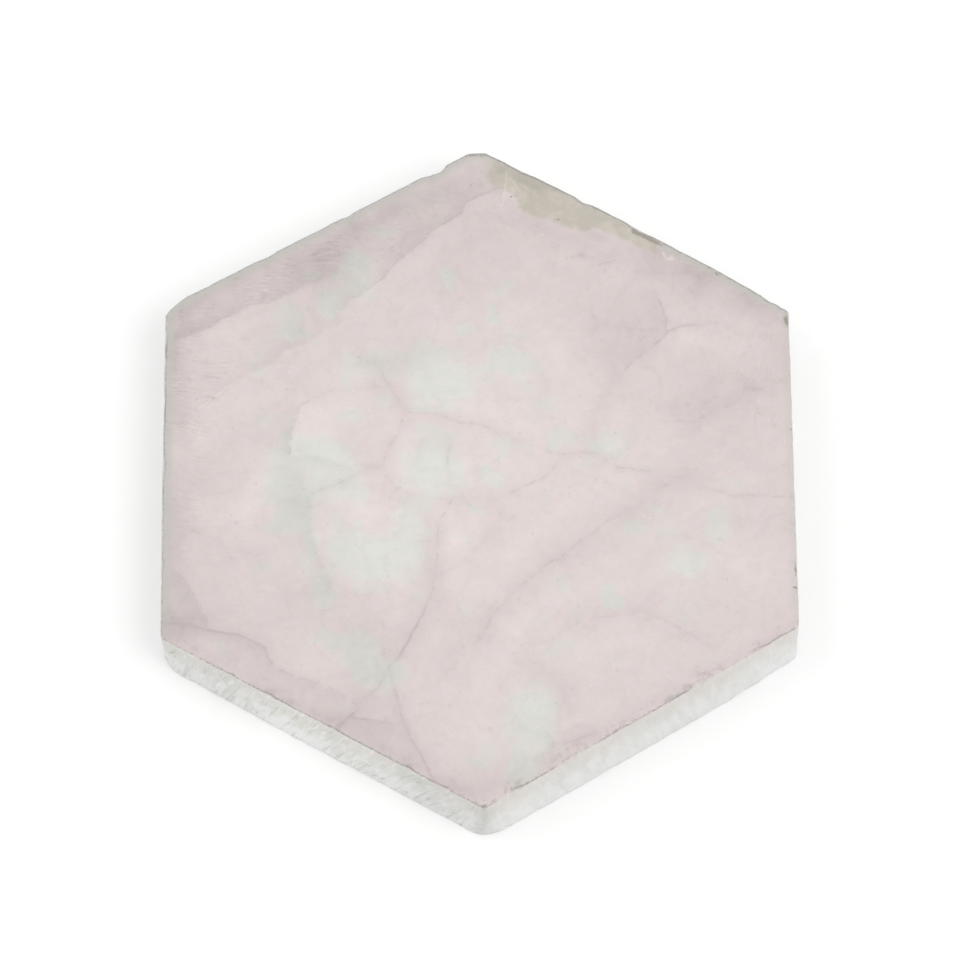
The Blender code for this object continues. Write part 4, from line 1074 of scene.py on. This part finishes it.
# Sizes are of one lump, mark or cell, in millimetres. Depths are how much each darkens or lightens the
# stone, where 0 is its light colour and 1 its dusky one.
stone = {
    "lightPink": (0.735, 0.653, 0.640), "duskPink": (0.545, 0.478, 0.472),
    "lightMilk": (0.689, 0.692, 0.648), "duskMilk": (0.515, 0.507, 0.472),
    "baseDusk": 0.33,
    "cloudSize": 13.0, "cloudDepth": 0.10,
    "lumpSize": 4.2, "lumpDepth": 0.26,
    "mottleSize": 1.1, "mottleDepth": 0.25,
    "grainSize": 0.24, "grainDepth": 0.12,
    "puffSize": 7.0, "creaseDepth": 0.10,
    "hairSize": 2.6, "hairDepth": 0.18,
    "fibreLight": 0.16, "fibreDark": 0.18,
    "bendSize": 15.0, "bend": (7.0, 7.0, 0.0),      # how the short fibres bend from place to place
    "scratchDepth": 1.6, "smudgeDepth": 0.7,
    "paleSpecks": dict(size=1.7, radius=0.2, share=0.07, at=(3, 8, 0)), "paleDepth": 0.3,
    "darkSpecks": dict(size=1.9, radius=0.17, share=0.05, at=(1, 2, 0)),
    "vein": (0.470, 0.400, 0.400), "veinHalo": 0.11,
    "stainLight": (0.560, 0.515, 0.440), "stainDark": (0.490, 0.455, 0.390),
    "olive": (0.430, 0.405, 0.345),
    "fresh": (0.770, 0.720, 0.680),
    # The greenish grey rim, which also stands for painted shade where the edge rolls away.
    "rim": (0.500, 0.495, 0.455),
    "grime": (0.300, 0.278, 0.240),
    # The dark line painted along the arris.
    "arrisDark": (0.330, 0.300, 0.295),
    "roughness": 0.56,
    "refraction": 1.52,
    "subsurface": 0.15, "subsurfaceReach": 0.0008,  # metres
    "bump": 0.25, "bumpHeight": 0.00008,            # metres
}

# The sawn sides. Marks are how long, how high and where in the noise each kind of saw mark is.
sawnSide = {
    # Cream brim to bluish white foot; the foot's extra paleness is painted light against the floor's shade.
    "brim": (0.668, 0.625, 0.592), "foot": (0.752, 0.762, 0.752),
    "green": (0.620, 0.635, 0.590),
    "streak": (0.540, 0.535, 0.500),
    # Fresh chips' pale colour, which is also that of the painted highlights under the arris.
    "chip": (0.490, 0.485, 0.450), "freshChipAndGlint": (0.800, 0.805, 0.770),
    "streakMarks": (0.9, 9.0, 0.0), "chipMarks": (0.7, 3.0, 4.0),
    "blotchMarks": (2.0, 5.0, 8.0), "splitMarks": (1.7, 14.0, 12.0),
    "shadeDepth": 0.12,
}


class StoneKit:
    # What the finish is mixed from: fields of the mesh, noise laid in the plate's millimetres, and blends.
    def __init__(self, tree):
        self.make = Wire(tree)
        place = self.make.node("ShaderNodeTexCoord", out="Object")
        self.where = self.make.node("ShaderNodeVectorMath", {"operation": "SCALE"}, {
            0: place, "Scale": 1 / mm})
        self.upward = self.make.node("ShaderNodeSeparateXYZ", values={0: self.where}, out="Z")
        self.across = self.field("across")
        bend = self.make.node("ShaderNodeTexNoise", {}, {
            "Vector": self.where, "Scale": 1 / stone["bendSize"], "Detail": 1.0}, out="Color")
        self.bent = self.make.node("ShaderNodeVectorMath", {"operation": "MULTIPLY_ADD"}, {
            0: bend, 1: stone["bend"], 2: self.where})
        self.lumps = self.cloud(stone["lumpSize"], 4.0, self.moved(31, 7, 3), 0.4)
        self.mottle = self.cloud(stone["mottleSize"], 3.0, self.moved(3, 71, 5))
        self.grain = self.cloud(stone["grainSize"], 2.0, self.moved(9, 17, 55))

    def field(self, name):
        return self.make.node("ShaderNodeAttribute", {"attribute_name": name}, out="Fac")

    def moved(self, x, y, z):
        return self.make.node("ShaderNodeVectorMath", {"operation": "ADD"}, {0: self.where, 1: (x, y, z)})

    def cloud(self, size, detail, at, twist=0.0):
        # Noise round 0.
        return self.make.node("ShaderNodeTexNoise", {}, {
            "Vector": at, "Scale": 1 / size, "Detail": detail, "Roughness": 0.55, "Distortion": twist}) - 0.5

    def fibres(self, long, wide, turn, at):
        laid = self.make.node("ShaderNodeMapping", {"vector_type": "TEXTURE"}, {
            "Vector": self.bent, "Location": at, "Rotation": (0, 0, math.radians(turn)),
            "Scale": (long, wide, 1)})
        return self.cloud(1.0, 2.0, laid)

    def sawMarks(self, long, high, at):
        laid = self.make.node("ShaderNodeCombineXYZ", values={
            "X": self.across / long, "Y": self.upward / high, "Z": at})
        return self.cloud(1.0, 3.0, laid, 0.3)

    def specks(self, size, radius, share, at):
        # Round specks in a share of the cells, each of its own size.
        distance = self.make.node("ShaderNodeTexVoronoi", {"voronoi_dimensions": "2D"}, {
            "Vector": self.moved(*at), "Scale": 1 / size}, out="Distance")
        chance = self.make.node("ShaderNodeSeparateXYZ", values={0: distance.other("Color")})
        large = radius / size * (0.3 + chance / share)
        return self.step(large, large * 0.4, distance) * chance.maths("LESS_THAN", chance, share)

    def step(self, low, high, value):
        return self.make.node("ShaderNodeMapRange", {"interpolation_type": "SMOOTHSTEP"}, {
            "Value": value, "From Min": low, "From Max": high})

    def blend(self, share, low, high, kept=True):
        low, high = (colour if isinstance(colour, Wire) else (*colour, 1.0) for colour in (low, high))
        return self.make.node("ShaderNodeMix", {"data_type": "RGBA", "clamp_factor": kept}, {
            0: share, 6: low, 7: high}, out=2)


def faceTone(kit):
    # How dusky the stone is, and its light fibres.
    field, cloud, step, fibres = kit.field, kit.cloud, kit.step, kit.fibres
    lumps, mottle, grain = kit.lumps, kit.mottle, kit.grain
    clouds = cloud(stone["cloudSize"], 3.0, kit.where)
    tone = stone["baseDusk"] + field("dusk") + clouds * stone["cloudDepth"] + lumps * stone["lumpDepth"]
    tone = tone + mottle * stone["mottleDepth"] + grain * stone["grainDepth"]

    # soft puffs with darker creases between them, and hairs that come and go
    puffs = cloud(stone["puffSize"], 3.0, kit.moved(60, 2, 9), 0.5)
    wisps = cloud(stone["hairSize"], 4.0, kit.moved(12, 44, 6), 0.6)
    hairs = step(0.018, 0.0, abs(wisps)) * step(0.0, 0.12, mottle + lumps * 0.6)
    tone = tone + step(0.09, 0.0, abs(puffs)) * stone["creaseDepth"] + hairs * stone["hairDepth"]

    lightFibres = step(0.05, 0.25, fibres(0.9, 0.22, 14, (5, 0, 0)))
    darkFibres = step(0.08, 0.27, fibres(1.1, 0.2, 8, (0, 9, 0)))
    tone = tone + darkFibres * stone["fibreDark"] - lightFibres * stone["fibreLight"]
    scratches = fibres(2.4, 0.38, -4, (2, 4, 0)) * field("acrossScratch")
    scratches = scratches + fibres(1.6, 0.34, 78, (7, 1, 0)) * field("alongScratch")
    tone = tone + scratches * (0.3 + step(-0.08, 0.12, lumps + mottle * 0.6)) * stone["scratchDepth"]
    smudges = step(2.6, 0.2, field("rimFar") + mottle * 2) * step(0.0, 0.22, lumps * 0.5 + mottle)
    tone = tone + smudges * field("smudge") * stone["smudgeDepth"]
    tone = tone - kit.specks(**stone["paleSpecks"]) * stone["paleDepth"]
    return tone, lightFibres


def faceColour(kit):
    # The marbling, then the stain, the thin veins, the greenish rim that paints shade along the edge, and
    # the grime over it.
    field, step, blend = kit.field, kit.step, kit.blend
    lumps, mottle, grain = kit.lumps, kit.mottle, kit.grain
    tone, lightFibres = faceTone(kit)
    veinLine = field("veinLine")
    darkVein, paleVein = veinLine.atLeast(0.0), (-veinLine).atLeast(0.0)
    veinFar = field("veinFar") + mottle * 0.8
    tone = tone + step(2.4, 0.0, veinFar) * darkVein * stone["veinHalo"]
    milky = step(0.0, 1.15, field("milk") + lumps * 0.9 + mottle)
    colour = blend(milky, blend(tone, stone["lightPink"], stone["duskPink"], False),
                   blend(tone, stone["lightMilk"], stone["duskMilk"], False))

    stained = step(0.12, 0.98, field("stain") + field("khaki") + mottle * 0.8 + lumps * 0.5)
    stainTone = step(-0.16, 0.12, lumps + mottle * 0.4)
    colour = blend(stained * 0.9, colour, blend(stainTone, stone["stainLight"], stone["stainDark"]))
    colour = blend(step(0.2, 0.85, field("olive") + mottle * 0.7) * 0.85, colour, stone["olive"])
    colour = blend(step(0.3, 0.8, field("cream") + mottle * 0.8) * 0.5, colour, stone["fresh"])
    colour = blend(step(0.2, 0.32, lightFibres * 0.3 + grain * 0.15) * 0.3, colour, stone["fresh"])

    broken = 0.2 + step(-0.02, 0.14, mottle + grain * 0.6 + (darkVein - 0.3) * 0.35)
    thin = step(1.0, 0.0, veinFar)
    colour = blend(thin * darkVein ** 0.7 * broken * 0.6, colour, stone["vein"])
    colour = blend(thin * paleVein * 0.6, colour, stone["fresh"])
    colour = blend(kit.specks(**stone["darkSpecks"]) * 0.55, colour, stone["vein"])

    # Greenish grey rim, darker towards the edge: painted shade where it rolls away, over the stone's green.
    rimFall = step(1.15, 0.25, (field("rimFar") + mottle * 1.4) / field("rimWide")) * field("rim")
    colour = blend(rimFall * (0.8 - stained * 0.6), colour, stone["rim"])
    grime = step(0.3, 0.7, field("grime") + mottle * 1.1 + grain * 1.3)
    return blend(grime * 0.85, colour, stone["grime"]), milky


def wallColour(kit):
    # The sides: saw marks that lean, green patches, thin splits, dark and fresh chips, and painted
    # highlights along the top of a side, just under the arris.
    field, step, blend = kit.field, kit.step, kit.blend
    height, chipped = kit.upward / outline["thickness"], field("chip")
    streaks, chips, blotches, splits = (
        kit.sawMarks(*sawnSide[name]) for name in ("streakMarks", "chipMarks", "blotchMarks", "splitMarks"))
    # Cream at the brim, bluish white at the foot, the foot painted paler against the floor's shade.
    colour = blend(step(1.0, 0.2, height + blotches * 0.6), sawnSide["brim"], sawnSide["foot"])
    greens = step(-0.05, 0.2, blotches + height * 0.15) * field("green")
    colour = blend(greens * 0.6, colour, sawnSide["green"])
    colour = blend(step(0.03, 0.2, streaks) * chipped * 0.6, colour, sawnSide["streak"])
    colour = blend(step(0.1, 0.3, chips + streaks * 0.5) * chipped * 0.7, colour, sawnSide["chip"])
    colour = blend(step(0.03, 0.2, -chips) * chipped * 0.7, colour, sawnSide["freshChipAndGlint"])
    thin = step(0.03, 0.004, abs(splits)) * step(-0.04, 0.12, blotches + chips * 0.5)
    colour = blend(thin * chipped * 0.65, colour, sawnSide["chip"])
    # Painted highlights: pale glints along the top of the side, just under the arris.
    glints = step(0.84, 0.97, height + chips * 0.2) * step(-0.05, 0.15, streaks)
    colour = blend(glints * 0.3, colour, sawnSide["freshChipAndGlint"])
    colour = kit.make.node("ShaderNodeVectorMath", {"operation": "SCALE"}, {
        0: colour, "Scale": 1 - field("wallShade") * sawnSide["shadeDepth"]})
    return colour, streaks + chips


def finishStone(plate):
    material = bpy.data.materials.new("marbledStone")
    material.use_nodes = True
    material.node_tree.nodes.clear()
    kit = StoneKit(material.node_tree)
    wall = kit.field("wall")
    colour, milky = faceColour(kit)
    wallTone, marks = wallColour(kit)
    colour = kit.blend(kit.step(0.0, 1.0, wall), colour, wallTone)
    # The dark line painted along the arris, broken up by flecks.
    flecks = kit.cloud(0.5, 3.0, kit.moved(5, 5, 80))
    arrisDark = kit.step(0.25, 0.95, kit.field("arris") + flecks * 1.7)
    colour = kit.blend(arrisDark * 0.85, colour, stone["arrisDark"])
    bump = kit.make.node("ShaderNodeBump", {}, {
        "Height": kit.grain * 0.6 + kit.mottle * 0.5 + marks * wall * 2.0,
        "Strength": stone["bump"], "Distance": stone["bumpHeight"]}, out="Normal")
    shader = kit.make.node("ShaderNodeBsdfPrincipled", {}, {
        "Base Color": colour, "Roughness": stone["roughness"] + kit.mottle * 0.12 - milky * 0.04,
        "Normal": bump, "IOR": stone["refraction"], "Subsurface Weight": stone["subsurface"],
        "Subsurface Radius": (1.0, 0.8, 0.7), "Subsurface Scale": stone["subsurfaceReach"]})
    kit.make.node("ShaderNodeOutputMaterial", {}, {"Surface": shader})
    plate.data.materials.append(material)


studio = {
    "floorSize": 6.0,             # metres across, as the lamps' places and sizes are
    "floorColour": (0.98, 0.98, 0.98),
    "floorRoughness": 0.8,
    "floorSheen": 0.2,
    "skyStrength": 0.85,
    "lamps": (
        dict(name="keySoftbox", at=(0.8, -0.5, 1.4), size=1.1, watts=6.0),
        dict(name="fillSoftbox", at=(-0.9, 0.2, 1.1), size=1.0, watts=2.0),
    ),
}


def makeStudio():
    size = studio["floorSize"] / 2
    mesh = bpy.data.meshes.new("paleFloor")
    corners = [(-size, -size, 0), (size, -size, 0), (size, size, 0), (-size, size, 0)]
    mesh.from_pydata(corners, [], [(0, 1, 2, 3)])
    floor = bpy.data.objects.new("paleFloor", mesh)
    bpy.context.scene.collection.objects.link(floor)
    paint = bpy.data.materials.new("palePaint")
    paint.use_nodes = True
    shader = paint.node_tree.nodes["Principled BSDF"]
    shader.inputs["Base Color"].default_value = (*studio["floorColour"], 1.0)
    shader.inputs["Roughness"].default_value = studio["floorRoughness"]
    shader.inputs["Specular IOR Level"].default_value = studio["floorSheen"]
    mesh.materials.append(paint)
    world = bpy.data.worlds.new("studioSky")
    world.use_nodes = True
    sky = world.node_tree.nodes["Background"]
    sky.inputs["Color"].default_value = (1, 1, 1, 1)
    sky.inputs["Strength"].default_value = studio["skyStrength"]
    bpy.context.scene.world = world
    for lamp in studio["lamps"]:
        light = bpy.data.lights.new(lamp["name"], "AREA")
        light.shape = "DISK"
        light.size = lamp["size"]
        light.energy = lamp["watts"]
        holder = bpy.data.objects.new(lamp["name"], light)
        holder.location = lamp["at"]
        holder.rotation_euler = (-Vector(lamp["at"])).to_track_quat("-Z", "Y").to_euler()
        bpy.context.scene.collection.objects.link(holder)
    bpy.context.scene.view_settings.view_transform = "Standard"


makeCamera()
print("camera set")
marbledPlate = makePlate()
print("plate made")
finishStone(marbledPlate)
print("stone finished")
makeStudio()
print("studio lit")

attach(marbledPlate, "root")
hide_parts("selenite_plate")
